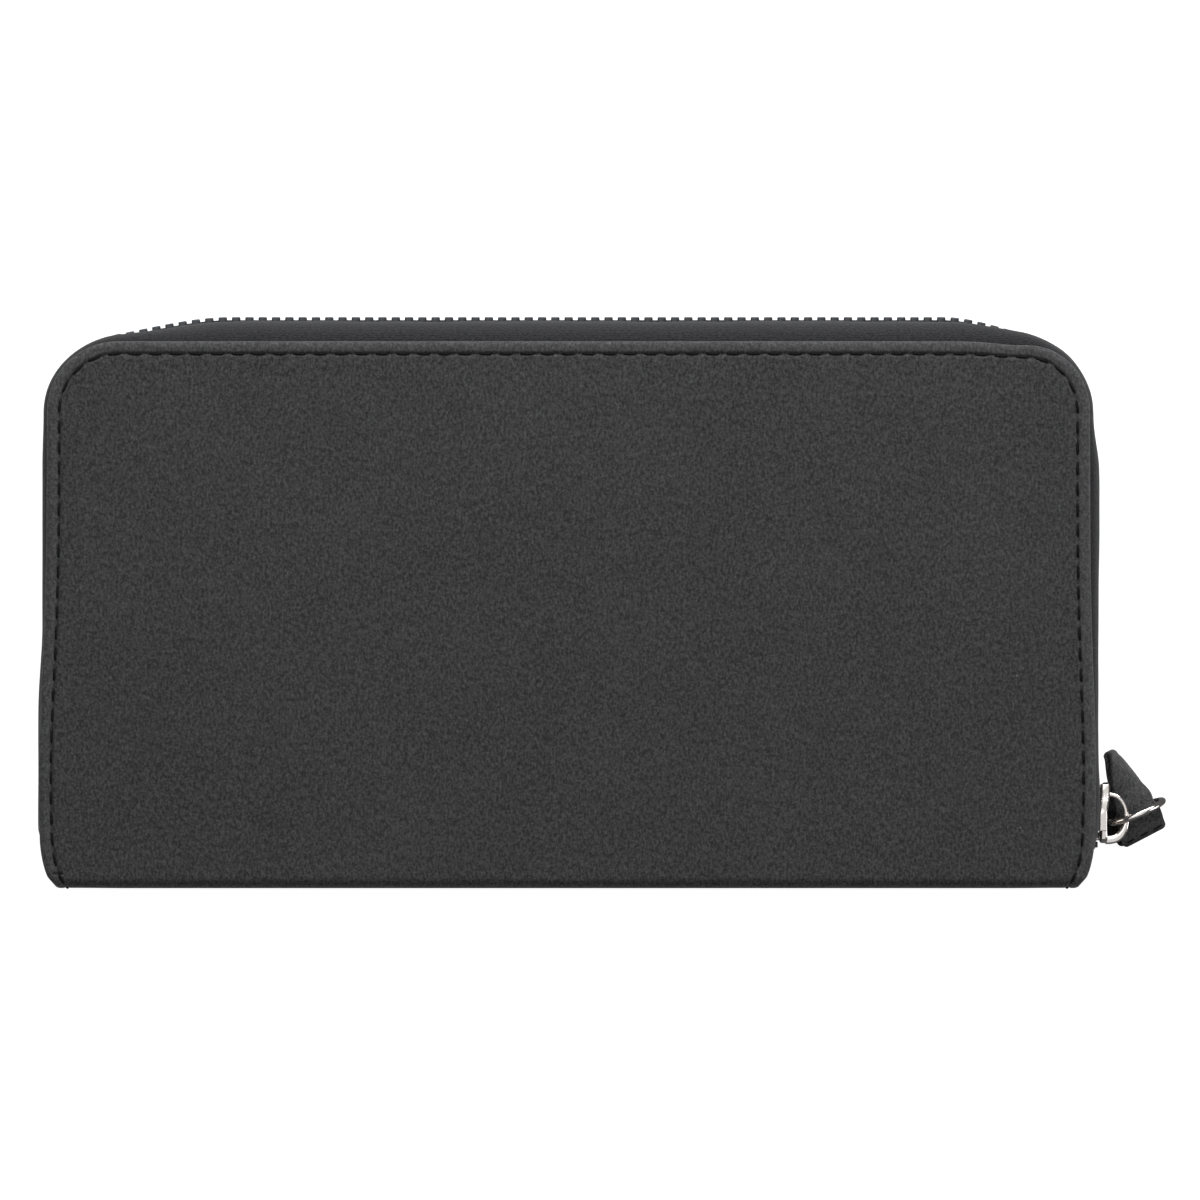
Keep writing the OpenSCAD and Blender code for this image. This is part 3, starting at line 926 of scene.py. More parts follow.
        with opened(piece) as bm:
            bmesh.ops.remove_doubles(bm, verts=bm.verts, dist=0.02 * MM)
        piece.data.shade_smooth()
        finish_with(piece, solid_sheet(self.skin))
        wide = 2 * (b.half_w + self.turned_in)
        return piece

    def fold_line(self) -> tuple[tuple[float, float, float], tuple[float, float, float]]:
        """Where the bend between spine and cover starts and ends, in metres."""
        b = self.body
        reach = b.fold_r + 0.6
        start = (0.0, b.spine_y * MM, b.height(reach, self.side) * MM)
        end = (0.0, (b.spine_y + reach) * MM, b.height(0.0, self.side) * MM)
        return start, end


@dataclass
class Stitching:
    """Thread runs, all laid by one Geometry Nodes tree."""

    tree: RunTree
    stitch: bpy.types.Object
    fine: bpy.types.Object

    def cover(self, skin: CoverSkin) -> bpy.types.Object:
        """Sew the line round one cover and its half of the spine."""
        path, out = skin.stitch_run(-skin.groove * 0.45)
        steps = lengths_along(path)
        pitch = steps[-1] / skin.stitches
        at = np.linspace(pitch / 2, steps[-1] - pitch / 2, 6 * skin.stitches)
        path = np.column_stack([np.interp(at, steps, path[:, k]) for k in range(3)])
        out = unit(np.column_stack([np.interp(at, steps, out[:, k]) for k in range(3)]))
        return self.tree.lay(f"{skin.side.value}_cover_thread", path, out, skin.stitches, self.stitch, THREAD)

    def line(self, name: str, path: Array, out: Sequence[float], pitch: float = 3.0) -> bpy.types.Object:
        """Sew a fine line along any path, facing one way."""
        path = np.asarray(path, float)
        count = max(2, round(lengths_along(path)[-1] / pitch))
        return self.tree.lay(name, path, np.tile(out, (len(path), 1)), count, self.fine, THREAD)


# ---- main zip -----------------------------------------------------------------------


@dataclass
class ZipPath:
    """The way that the zip takes round three sides of the wallet."""

    body: Body
    out_side: float
    out_top: float = 3.5
    y0: float = -43.0
    tuck: float = -0.6
    out_left: float = 0.1
    tail: float = 0.9
    top_start: tuple[float, float] = (94.0, 91.0)
    top_run: tuple[float, float] = (32.0, 22.0)
    tuck_y: float = 27.0
    tuck_run: float = 10.0

    @property
    def side(self) -> float:
        """Length of the straight run up one short side."""
        return self.body.corner_y - self.y0

    @property
    def arc(self) -> float:
        """Length round one corner of the cover."""
        return self.body.corner_r * math.pi / 2

    @property
    def length(self) -> float:
        """Length from one end of the zip to the other, along the cover's edge."""
        return 2 * (self.side + self.arc + self.body.half_w - self.body.corner_r)

    def at(self, lengths: Array) -> tuple[Array, Array]:
        """Places on the cover's edge.

        Args:
            lengths: Distances from the right-hand end.

        Returns:
            The points (x, y) and the outward directions there.
        """
        b, half = self.body, self.length / 2
        s = np.where(lengths > half, self.length - lengths, lengths)
        turn = np.clip((s - self.side) / b.corner_r, 0, math.pi / 2)
        x0, y0 = b.half_w - b.corner_r, b.corner_y
        x = x0 + b.corner_r * np.cos(turn) - np.maximum(s - self.side - self.arc, 0)
        y = np.where(s < self.side, self.y0 + s, y0 + b.corner_r * np.sin(turn))
        sign = np.where(lengths > half, -1.0, 1.0)
        return np.column_stack([x * sign, y]), np.column_stack([np.cos(turn) * sign, np.sin(turn)])

    def out(self, points: Array) -> Array:
        """How far the teeth stand out from the cover's edge: proud on top, tucked in at the corners.

        The pairs of lengths for the top are the left-hand side's and the right-hand side's.
        """
        x, y = points.T
        right = x > 0
        tuck = np.where(right, self.tuck, self.tuck - 0.3)
        start = np.where(right, self.top_start[1], self.top_start[0])
        run = np.where(right, self.top_run[1], self.top_run[0])
        top = tuck + (self.out_top - tuck) * smooth((start - np.abs(x)) / run)
        foot = np.where(right, self.out_side, self.tuck + (self.out_left - self.tuck) * self.low(y))
        side = foot + (tuck - foot) * smooth((y - self.tuck_y) / self.tuck_run)
        tail = np.where(right, 0.0, self.tail * smooth((self.y0 + 3 - y) / 3))
        return np.where(y > self.body.corner_y, top, side) - tail

    @staticmethod
    def low(y: Array) -> Array:
        """From 0 half-way up a side to 1 near its foot, where the covers belly out."""
        return smooth((-2 - y) / 16)

    def slack(self, points: Array) -> Array:
        """How much the tape bows over the teeth at each point: nothing on top, most at the sides."""
        x, y = points.T
        right = x > 0
        top = np.where(right, 1.1, 0.78) * smooth((np.abs(x) - 68) / 16)
        corner = top * (1 - 0.3 * smooth((np.abs(x) - 90) / 5) * right)
        mouth = 0.3 * np.exp(-(((y + 33) / 4) ** 2))
        drawn = 0.8 + 0.3 * smooth((35 - y) / 12) - 0.2 * smooth((20 - y) / 20) + mouth
        side = np.where(right, drawn, 0.78 + 0.2 * self.low(y))
        shut = 1 - 0.8 * smooth((self.y0 + 4 - y) / 4)
        return np.where(y > self.body.corner_y, corner, side * shut)


@dataclass
class MainZip:
    """One half's tape, edge cord and teeth."""

    path: ZipPath
    side: Side
    flange_depth: float = 2.05
    tape: float = 0.45
    edge_gap: float = 1.0
    cord_r: float = 0.5
    cord_wrap: float = 0.4
    cord_in: float = 0.35
    pitch: float = 2.45
    row_lean: float = 0.7
    teeth_from: float = 3.6
    teeth_short: float = 6.0

    def profile(self, out: Array, slack: Array) -> tuple[Array, Array]:
        """The tape's section at each place on its way.

        Args:
            out: How far the tape stands out there.
            slack: How much further it bows between the cover and the teeth.

        Returns:
            Distances out from the cover's edge, and depths, one row for each place.
        """
        z = self.flange_depth
        mid = self.path.body.thick / 2
        sewn = [np.full_like(out, inside) for inside in (-6.0, -3.0, -1.0)]
        bowed = [out * 0.45 + slack * 0.6 - 0.2, out * 0.85 + slack - 0.05, out + slack * 0.3]
        knots = np.stack([*sewn, *bowed, out, out], axis=1)
        depths = np.array([z, z, z + 0.02, z + 0.8, z + 2.7, z + 5.4, z + 7.6, mid - self.edge_gap])
        fine = np.linspace(0, len(depths) - 1, 34)
        rows = np.stack([self.through(knots[k], fine) for k in range(len(out))])
        return rows, self.through(depths, fine)

    @staticmethod
    def through(knots: Array, at: Array) -> Array:
        """A smooth curve through evenly spaced knots, read at places between them."""
        padded = np.concatenate([[2 * knots[0] - knots[1]], knots, [2 * knots[-1] - knots[-2]]])
        k = np.minimum(at.astype(int), len(knots) - 2)
        t = at - k
        a, b, c, d = (padded[k + n] for n in range(4))
        bend, twist = 2 * a - 5 * b + 4 * c - d, 3 * b - a - 3 * c + d
        return 0.5 * (2 * b + (c - a) * t + bend * t**2 + twist * t**3)

    def build_tape(self) -> bpy.types.Object:
        """Weave the tape, with the thick cord along its toothed edge."""
        lengths = np.linspace(0, self.path.length, 420)
        points, ways = self.path.at(lengths)
        ripple = 0.05 * np.sin(lengths / 2.1) + 0.06 * np.sin(lengths / 7.3 + 1)
        rows, depths = self.profile(self.path.out(points), self.path.slack(points))
        share = smooth((depths - 3) / 5) * (1 - smooth((depths - 9.5) / 2))
        rows = rows + ripple[:, None] * share[None, :] + self.tape / 2
        flat = points[:, None, :] + ways[:, None, :] * rows[:, :, None]
        z = np.broadcast_to(self.path.body.height(depths, self.side)[None, :, None], (*rows.shape, 1))
        grid = np.concatenate([flat, z], axis=2)
        faces = grid_faces(*rows.shape)
        if self.side is Side.BACK:
            faces = flipped(faces)
        tape = make_piece(f"{self.side.value}_tape", grid.reshape(-1, 3), faces, TAPE)
        across = lengths_along(np.column_stack([rows[len(rows) // 2], depths]))
        map_weave(tape, np.stack(np.meshgrid(lengths, across, indexing="ij"), axis=-1).reshape(-1, 2) * MM)
        finish_with(tape, solid_sheet(self.tape))
        cord = self.build_cord(points, ways, lengths)
        piece = joined([tape, cord], f"{self.side.value}_tape")
        return piece

    def build_cord(self, points: Array, ways: Array, lengths: Array) -> bpy.types.Object:
        """The cord that the teeth are clamped on."""
        body = self.path.body
        out = self.path.out(points)
        turns = round_turn(10)
        depth = body.thick / 2 - self.edge_gap - self.cord_in
        z = body.height(depth + self.cord_r * np.sin(turns), self.side)
        steps = range(0, len(points), 2)
        spread = [out[k] + self.cord_r * np.cos(turns) for k in steps]
        rings = [np.column_stack([points[k] + ways[k] * r[:, None], z]) for k, r in zip(steps, spread)]
        cord = make_tube("cord", rings, TAPE)
        places = [(lengths[k], turn * self.cord_wrap) for k in steps for turn in range(len(turns))]
        map_weave(cord, np.array(places) * MM)
        return cord

    def build_teeth(self, run: RunTree, tooth: bpy.types.Object) -> bpy.types.Object:
        """Clamp the teeth along the cord, half a pitch out of step with the other row."""
        shift = self.pitch / 2 if self.side is Side.FRONT else 0.0
        start = self.teeth_from + shift
        count = int((self.path.length - self.teeth_short - start) / self.pitch) + 1
        lengths = np.linspace(start, start + (count - 1) * self.pitch, 8 * count)
        points, ways = self.path.at(lengths)
        lean = self.row_lean if self.side is Side.BACK else 0.0
        points = points + ways * (self.path.out(points)[:, None] - lean)
        line = np.column_stack([points, np.full(len(points), self.path.body.thick / 2)])
        out = np.column_stack([ways, np.zeros(len(ways))])
        if self.side is Side.FRONT:
            line, out = line[::-1], out[::-1]
        return run.lay(f"{self.side.value}_row_of_teeth", line, out, count, tooth, SHADED_TOOTH_NICKEL)


# ---- sliders and pull ---------------------------------------------------------------


def rounded(corners: Array, rounds: int = 2) -> Array:
    """Cut a closed outline's corners again and again until it is smooth."""
    for _ in range(rounds):
        after = np.roll(corners, -1, axis=0)
        cuts = [corners * 0.75 + after * 0.25, corners * 0.25 + after * 0.75]
        corners = np.stack(cuts, axis=1).reshape(-1, 2)
    return corners


def bent_bar(name: str, centres: Array, normals: Array, across: Sequence[float], wide: float,
             thick: float | Array, finish: Finish) -> bpy.types.Object:
    """A bar with a rounded oblong section, swept along a line.

    Args:
        name: Its name.
        centres: Points along its middle.
        normals: The way of its thickness at each.
        across: The way of its width, all along.
        wide: Its width.
        thick: Its thickness, everywhere or at each point.
        finish: What it is made of.

    Returns:
        The bar.
    """
    turns = round_turn(16)
    w = squared(np.cos(turns), 0.55) * wide / 2
    t = squared(np.sin(turns), 0.55)[None, :] * np.broadcast_to(thick, len(centres))[:, None] / 2
    aside = np.asarray(across)[None, None] * w[None, :, None]
    return make_tube(name, centres[:, None] + aside + normals[:, None] * t[:, :, None], finish)


@dataclass
class Slider:
    """A zip slider: two plates with bent-in lips, joined by a post at the mouth."""

    length: float
    width: float
    gap: float
    plate: float
    slot: float
    place: Callable[[Array], Array]
    flare: float = 0.0
    rim: float = 0.1
    lip_out: float = 0.13

    def half_width(self, a: Array) -> Array:
        """Half the plate's width at a distance from its middle, towards the throat."""
        return self.width / 2 * (1 - 0.36 * smooth((a / self.length + 0.02) / 0.5))

    def outline(self) -> Array:
        """The plate's outline, square at the mouth and drawn in at the throat."""
        half = self.length / 2
        a = half * np.array([-1, -0.96, -0.6, -0.3, 0, 0.2, 0.35, 0.5, 0.7, 0.85, 0.95, 1])
        b = self.half_width(a) * np.array([0.55, 0.94, 1, 1, 1, 1, 1, 1, 1, 1, 0.9, 0.4])
        right = np.column_stack([a, b])
        return rounded(np.vstack([right, (right * (1, -1))[::-1]]))

    def lip(self, way: int) -> Array:
        """Outline of the lip along one edge of a plate."""
        a = np.linspace(-self.length * 0.3, self.length * 0.47, 32)
        outer = self.half_width(a) + self.lip_out
        inner = outer - self.width * self.rim
        band = np.vstack([np.column_stack([a, outer]), np.column_stack([a, inner])[::-1]])
        return band * (1, way)

    def build(self, name: str) -> bpy.types.Object:
        """Build the slider's body as one piece."""
        half = self.gap / 2
        parts = []
        for way in (-1, 1):
            def face(points: Array, way: int = way, start: float = half) -> Array:
                """Stand a flat plate on one side of the tape, flared at its throat."""
                lift = self.flare * smooth((points[:, 0] / self.length + 0.05) / 0.4)
                return self.place(np.column_stack([points[:, :2], way * (start + lift + points[:, 2])]))

            def inner(points: Array, way: int = way) -> Array:
                """Stand a lip between the plate and the tape."""
                return face(points, way, self.slot)

            parts.append(prism("plate", self.outline(), face, self.plate, NICKEL, self.plate * 0.32))
            deep = half - self.slot + self.plate - 0.12
            parts += [prism("lip", self.lip(edge), inner, deep, NICKEL, 0.2) for edge in (-1, 1)]
        low = self.place(np.array([[-self.length / 2 + 0.5, -0.7, -half - 0.2]]))[0]
        high = self.place(np.array([[-self.length / 2 + 2.0, 0.7, half + 0.2]]))[0]
        parts.append(block("post", np.minimum(low, high), np.maximum(low, high), NICKEL, 0.3))
        return joined(parts, name)

    def bridge(self, name: str, centre: float, long: float, out: float, bar: float, wide: float
               ) -> bpy.types.Object:
        """The D-shaped bridge over the outer plate.

        Args:
            name: Its name.
            centre: Where its middle is along the slider.
            long: Its length outside.
            out: How far it stands out from the plate.
            bar: Its thickness.
            wide: Its width.

        Returns:
            The bridge.
        """
        turns = np.radians(np.linspace(-90, 90, 41))
        a, c = (long - bar) / 2, out - bar / 2
        face = self.gap / 2 + self.plate
        square = np.abs(np.cos(turns)) ** 0.8
        stout = 1 + 0.3 * smooth(-turns / 1.2) - 0.3 * smooth((turns + 0.9) / 1.2)
        flat = np.column_stack([centre + a * np.sin(turns), np.zeros(41), face + c * square])
        flat = np.vstack([flat[0] - (0, 0, 0.3), flat, flat[-1] - (0, 0, 0.3)])
        slope = unit(np.gradient(flat, axis=0))
        origin = self.place(np.zeros((1, 3)))
        normal = self.place(np.column_stack([slope[:, 2], np.zeros(len(slope)), -slope[:, 0]])) - origin
        across = (self.place(np.array([[0.0, 1.0, 0.0]])) - origin)[0]
        stout = np.concatenate([[stout[0]], stout, [stout[-1]]])
        return bent_bar(name, self.place(flat), normal, across, wide, bar * stout, NICKEL)


@dataclass
class RingPull:
    """The wire ring, and the folded strap that hangs on it.

    The strap's leaves stand open_by apart from their middle at the ring and close within
    open_far of it towards the fold, and within open_near towards the sewn ends.
    """

    centre: Array
    turn: float = math.radians(23)
    lean: float = math.radians(6)
    ring_r: float = 5.1
    wire_r: float = 0.575
    strap_w: float = 8.3
    strap_t: float = 0.9
    leaf_gap: float = 0.06
    near: float = -6.5
    far: float = 11.4
    open_by: float = 3.15
    open_far: float = 4.8
    open_near: float = 6.0
    sewn_turn: float = math.radians(4.5)
    roll: float = math.radians(75)
    roll_from: float = 0.5
    curl: float = math.radians(70)
    turns: Array = field(default_factory=lambda: round_turn(24))

    def build_ring(self) -> bpy.types.Object:
        """Bend the wire into a ring that stands upright."""
        turns, around = round_turn(112), round_turn(18)
        flat = np.array([math.cos(self.turn), math.sin(self.turn), 0])
        away = np.array([-math.sin(self.turn), math.cos(self.turn), 0])
        up = np.array([0, 0, math.cos(self.lean)]) - away * math.sin(self.lean)
        side = np.cross(up, flat)
        way = np.cos(turns)[:, None] * flat + np.sin(turns)[:, None] * up
        spread = self.ring_r + self.wire_r * np.cos(around)
        rings = way[:, None] * spread[None, :, None] + side * (self.wire_r * np.sin(around))[None, :, None]
        points = (rings + self.centre).reshape(-1, 3)
        faces = flipped(grid_faces(len(turns) + 1, len(around), wrap=True))
        piece = make_piece("wire_ring", points, [[v % len(points) for v in f] for f in faces], NICKEL)
        face_out(piece)
        return piece

    def middle(self, u: float) -> Array:
        """Middle of the strap at u, which is 0 at the ring and grows towards the fold."""
        along = np.array([-math.sin(self.turn), math.cos(self.turn), 0])
        across = np.array([math.cos(self.turn), math.sin(self.turn), 0])
        bow = 0.55 * math.sin(math.pi * u / self.far) if u > 0 else -0.4 * float(smooth(-u / 4))
        droop = 0.03 * min(u, 0) ** 2
        rise = 0.2 * float(smooth(u / self.far))
        reach = u if u > 0 else u * 0.72
        return self.centre + (0, 0, -self.open_by + rise - droop) + along * reach + across * bow

    def frame_at(self, u: float) -> tuple[Array, Array, Array, Array, float]:
        """The strap's middle, and its ways across, up and along, and half the gap between its leaves."""
        share = max(0.0, (u - self.roll_from) / (self.far - self.roll_from))
        roll = self.roll * min(1.0, share)
        turn = self.turn + self.sewn_turn * float(smooth(-u / 6))
        level = np.array([math.cos(turn), math.sin(turn), 0])
        across = level * math.cos(roll) + np.array([0, 0, -1.0]) * math.sin(roll)
        along = unit(self.middle(u + 0.05) - self.middle(u - 0.05))
        up = unit(np.cross(along, -across))
        least = (self.strap_t + self.leaf_gap) / 2
        reach = self.open_far if u > 0 else self.open_near
        bulge = math.cos(min(math.pi / 2, abs(u) / reach * math.pi / 2)) ** 1.6
        return self.middle(u), across, up, along, least + (self.open_by - least) * bulge

    def section(self, middle: Array, ways: tuple[Array, Array, Array], turn: float, curl: float, wide: float
                ) -> Array:
        """One rounded section of the strap.

        Args:
            middle: The section's middle.
            ways: The ways across, up and along there.
            turn: The angle round the fold: 0 on the upper leaf and pi on the lower.
            curl: How far the section's right-hand edge turns down, in radians.
            wide: Its width.

        Returns:
            The section's 24 points.
        """
        across, up, along = ways
        sines = np.sin(self.turns)
        w = squared(np.cos(self.turns), 0.16) * wide / 2
        t = squared(sines, 0.6) * self.strap_t / 2 * (0.94 + 0.06 * np.abs(sines))
        radius = wide / 2 / max(curl, 1e-3)
        bent = np.maximum(w, 0) / radius
        rise = t * math.cos(turn)
        aside = np.where(w > 0, radius * np.sin(bent), w) + rise * np.sin(bent)
        above = rise * np.cos(bent) - radius * (1 - np.cos(bent))
        ahead = t * math.sin(turn)
        return middle + across * aside[:, None] + up * above[:, None] + along * ahead[:, None]

    def curl_at(self, u: float) -> float:
        """How far the right-hand edge turns down at u."""
        return self.curl * float(smooth((u + 1) / 2) * (1 - 0.43 * smooth((u - 5) / 6)))

    def build_strap(self) -> bpy.types.Object:
        """Fold the strap: out along its upper leaf, round the fold and back along the lower."""
        rings = []
        steps = np.linspace(self.near, self.far, 64)
        for leaf in (1, -1):
            for u in steps[::leaf]:
                centre, across, up, along, gap = self.frame_at(float(u))
                clip = 0.8 * max(0.0, 1 - (u - self.near) / 0.7) ** 2 - 0.5 * float(smooth(-u / 3))
                sway = 0.05 * math.sin(u * 1.3)
                slip = -0.5 * float(smooth(-u / 2)) - 1.9 * math.exp(-(((u + 1.2) / 3.2) ** 2))
                middle = centre + up * (leaf * gap + sway) + across * (slip if leaf < 0 else 0.0)
                turn = 0.0 if leaf > 0 else math.pi
                wide = self.strap_w - clip
                rings.append(self.section(middle, (across, up, along), turn, self.curl_at(u), wide))
            if leaf == 1:
                centre, across, up, along, gap = self.frame_at(self.far)
                ways, curl = (across, up, along), self.curl_at(self.far)
                for turn in np.radians(np.arange(15, 180, 15)):
                    middle = centre + (up * math.cos(turn) + along * math.sin(turn)) * gap
                    rings.append(self.section(middle, ways, float(turn), curl, self.strap_w))
        piece = make_tube("folded_strap", rings, MICROFIBRE)
        # The strap's side edges take the paler edge mask too: stretched nap and painted highlight.
        mark_pale_and_lit_edge(piece, np.tile(np.abs(np.cos(self.turns)) > 0.9, len(rings)) * 0.6)
        return piece

    def stitch_line(self) -> tuple[Array, Array]:
        """The short row of thread that closes the strap's ends, and the way out of the leaf."""
        centre, across, up, _, gap = self.frame_at(self.near + 1.0)
        top = centre + up * (gap + self.strap_t / 2 - 0.03)
        return np.array([top + across * k for k in np.linspace(-2.8, 2.8, 12)]), up


# ---- inside -------------------------------------------------------------------------


@dataclass
class Gusset:
    """Half an accordion side wall, from one cover's lining to the middle of the divider."""

    body: Body
    side: Side
    right: bool
    cloth: float = 0.35
    sewn_x: float = 92.6
    divider_x: float = 90.6
    divider_depth: float = 9.2
    fold_share: float = 0.72
    fold_low: float = 2.2
    fold_high: float = 5.4

    def build(self) -> bpy.types.Object:
        hand = "right" if self.right else "left"
        low, high = box_mm(f"{hand}_gusset")
        ys = np.linspace(low[1], high[1], 70)
        t = np.linspace(0, 1, 26)
        share = np.clip(t / self.fold_share, 0, 1)
        depth = np.interp(t, [0, self.fold_share, 1], [low[2], self.divider_depth, self.body.thick / 2])
        z = self.body.height(depth, self.side)
        rows = []
        for y in ys:
            rise = smooth((y - ys[0]) / (ys[-1] - ys[0]))
            deep = self.fold_low + (self.fold_high - self.fold_low) * rise
            fold = np.sin(np.pi * share) ** 0.9
            x = self.sewn_x + (self.divider_x - self.sewn_x) * share - deep * fold
            x = x + 0.12 * np.sin(y / 3.1 + 5 * t) * np.sin(np.pi * t)
            rows.append(np.column_stack([x if self.right else -x, np.full(len(t), y), z]))
        name = f"{hand}_gusset_{self.side.value}_half"
        piece = make_piece(name, np.vstack(rows), grid_faces(len(ys), len(t)), LINING)
        wide = float(lengths_along(rows[35])[-1]) * MM
        finish_with(piece, solid_sheet(self.cloth))
        return piece


@dataclass
class Pockets:
    """The card pockets' fine stitching in one half."""

    body: Body
    side: Side
    sewing: Stitching
    in_from_edge: float = 1.8
    rows: int = 4

    def mouths(self) -> list[tuple[float, float]]:
        """Each pocket row's mouth and the depth of its face, from the cover outwards."""
        found = []
        for k in range(1, self.rows + 1):
            low, high = box_mm(f"{self.side.value}_card_row_{k}")
            face = high[2] if self.side is Side.BACK else self.body.thick - low[2]
            found.append((high[1], face))
        return found

    def build(self) -> bpy.types.Object:
        """Sew each mouth, both sides and the seam down the middle."""
        low, high = box_mm(f"{self.side.value}_card_row_1")
        out = (0, 0, 1.0 if self.side is Side.BACK else -1.0)
        mouths = self.mouths()
        runs = []
        wide = high[0] - self.in_from_edge
        for k, (mouth, face) in enumerate(mouths):
            z = self.body.height(face, self.side)
            row = np.array([[x, mouth - 1.6, z] for x in np.linspace(-wide, wide, 60)])
            runs.append(self.sewing.line(f"{self.side.value}_pocket_thread_{k + 1}", row, out))
        for name, x in (("left", -wide), ("middle", 0.0), ("right", wide)):
            points, foot = [], low[1] + 2
            for mouth, face in reversed(mouths):
                z = self.body.height(face, self.side)
                points += [[x, y, z] for y in np.arange(foot, mouth - 0.4, 1.0)]
                foot = mouth + 0.4
            runs.append(self.sewing.line(f"{self.side.value}_pocket_seam_{name}", np.array(points), out))
        return joined(runs, f"{self.side.value}_pocket_thread")


@dataclass
class CoinZip:
    """The small zip along the coin pocket's mouth."""

    run: RunTree
    pitch: float = 2.0

    def build_teeth(self) -> None:
        """Clamp both rows of teeth."""
        tooth = tooth_shape(width=0.8, across=1.5, reach=1.1, head=0.5)
        margin = 0.4
        for side in Side:
            node = f"coin_{side.value}_teeth"
            low, high = box_mm(node)
            count = round((high[0] - low[0]) / self.pitch - margin) + 1
            y, z = (low[1] + high[1]) / 2, box_mm("coin_zip_stops")[0][2] + 0.6
            ends = (low[0] + margin, high[0] - margin)
            ends = ends if side is Side.FRONT else ends[::-1]
            path = np.array([[x, y, z] for x in np.linspace(*ends, 200)])
            ways = np.tile((0, 1.0, 0), (200, 1))
            teeth = self.run.lay(f"coin_{side.value}_row", path, ways, count, tooth, SHADED_TOOTH_NICKEL)
            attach(teeth, "spine")
            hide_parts(node)
            LOG.info("%s has %d faces", teeth.name, len(teeth.data.polygons))
        bpy.data.objects.remove(tooth)

    def build_slider(self) -> bpy.types.Object:
        """The small slider with its bridge."""
        x, _, z = sum(box_mm("coin_slider")) / 2
        y = sum(box_mm("coin_back_tape"))[1] / 2

        def place(p: Array) -> Array:
            """Length towards the closed run at -X, plates across Y."""
            return np.column_stack([x - p[:, 0], y + p[:, 2], z + p[:, 1]])

        slider = Slider(length=7.6, width=4.7, gap=1.8, plate=0.8, slot=0.4, place=place, rim=0.055)
        body = slider.build("coin_zip_slider")
        face_out(body)
        bridge = slider.bridge("coin_bridge", centre=0.0, long=5.0, out=1.9, bar=0.6, wide=1.2)
        return joined([body, bridge], "coin_zip_slider")

    def build_pull(self) -> bpy.types.Object:
        """The flat tab with an eye round the bridge."""
        low, high = box_mm("coin_pull")
        y, thick = low[1], high[1] - low[1]
        x1, z = high[0], (low[2] + high[2]) / 2

        def place(p: Array) -> Array:
            """Lay the tab flat on the bridge."""
            return np.column_stack([x1 - p[:, 0], y + p[:, 2], z + p[:, 1]])

        half = np.array([(3.7, -1.1), (4.1, -1.4), (7.6, -1.15), (8.3, -0.9)])
        tab = rounded(np.vstack([half, (half * (1, -1))[::-1]]), 1)
        turns = np.radians(np.arange(0, 361, 12))
        ring = np.column_stack([2.15 + 1.85 * np.cos(turns), 1.42 * np.sin(turns), np.full(31, thick / 2)])
        normal = np.column_stack([-np.cos(turns), np.zeros(31), np.sin(turns)])
        eye = bent_bar("eye", place(ring), normal, (0, 1.0, 0), thick, 0.85, NICKEL)
        return joined([prism("tab", tab, place, thick, NICKEL, 0.2), eye], "coin_pull_tab")


# ---- studio -------------------------------------------------------------------------


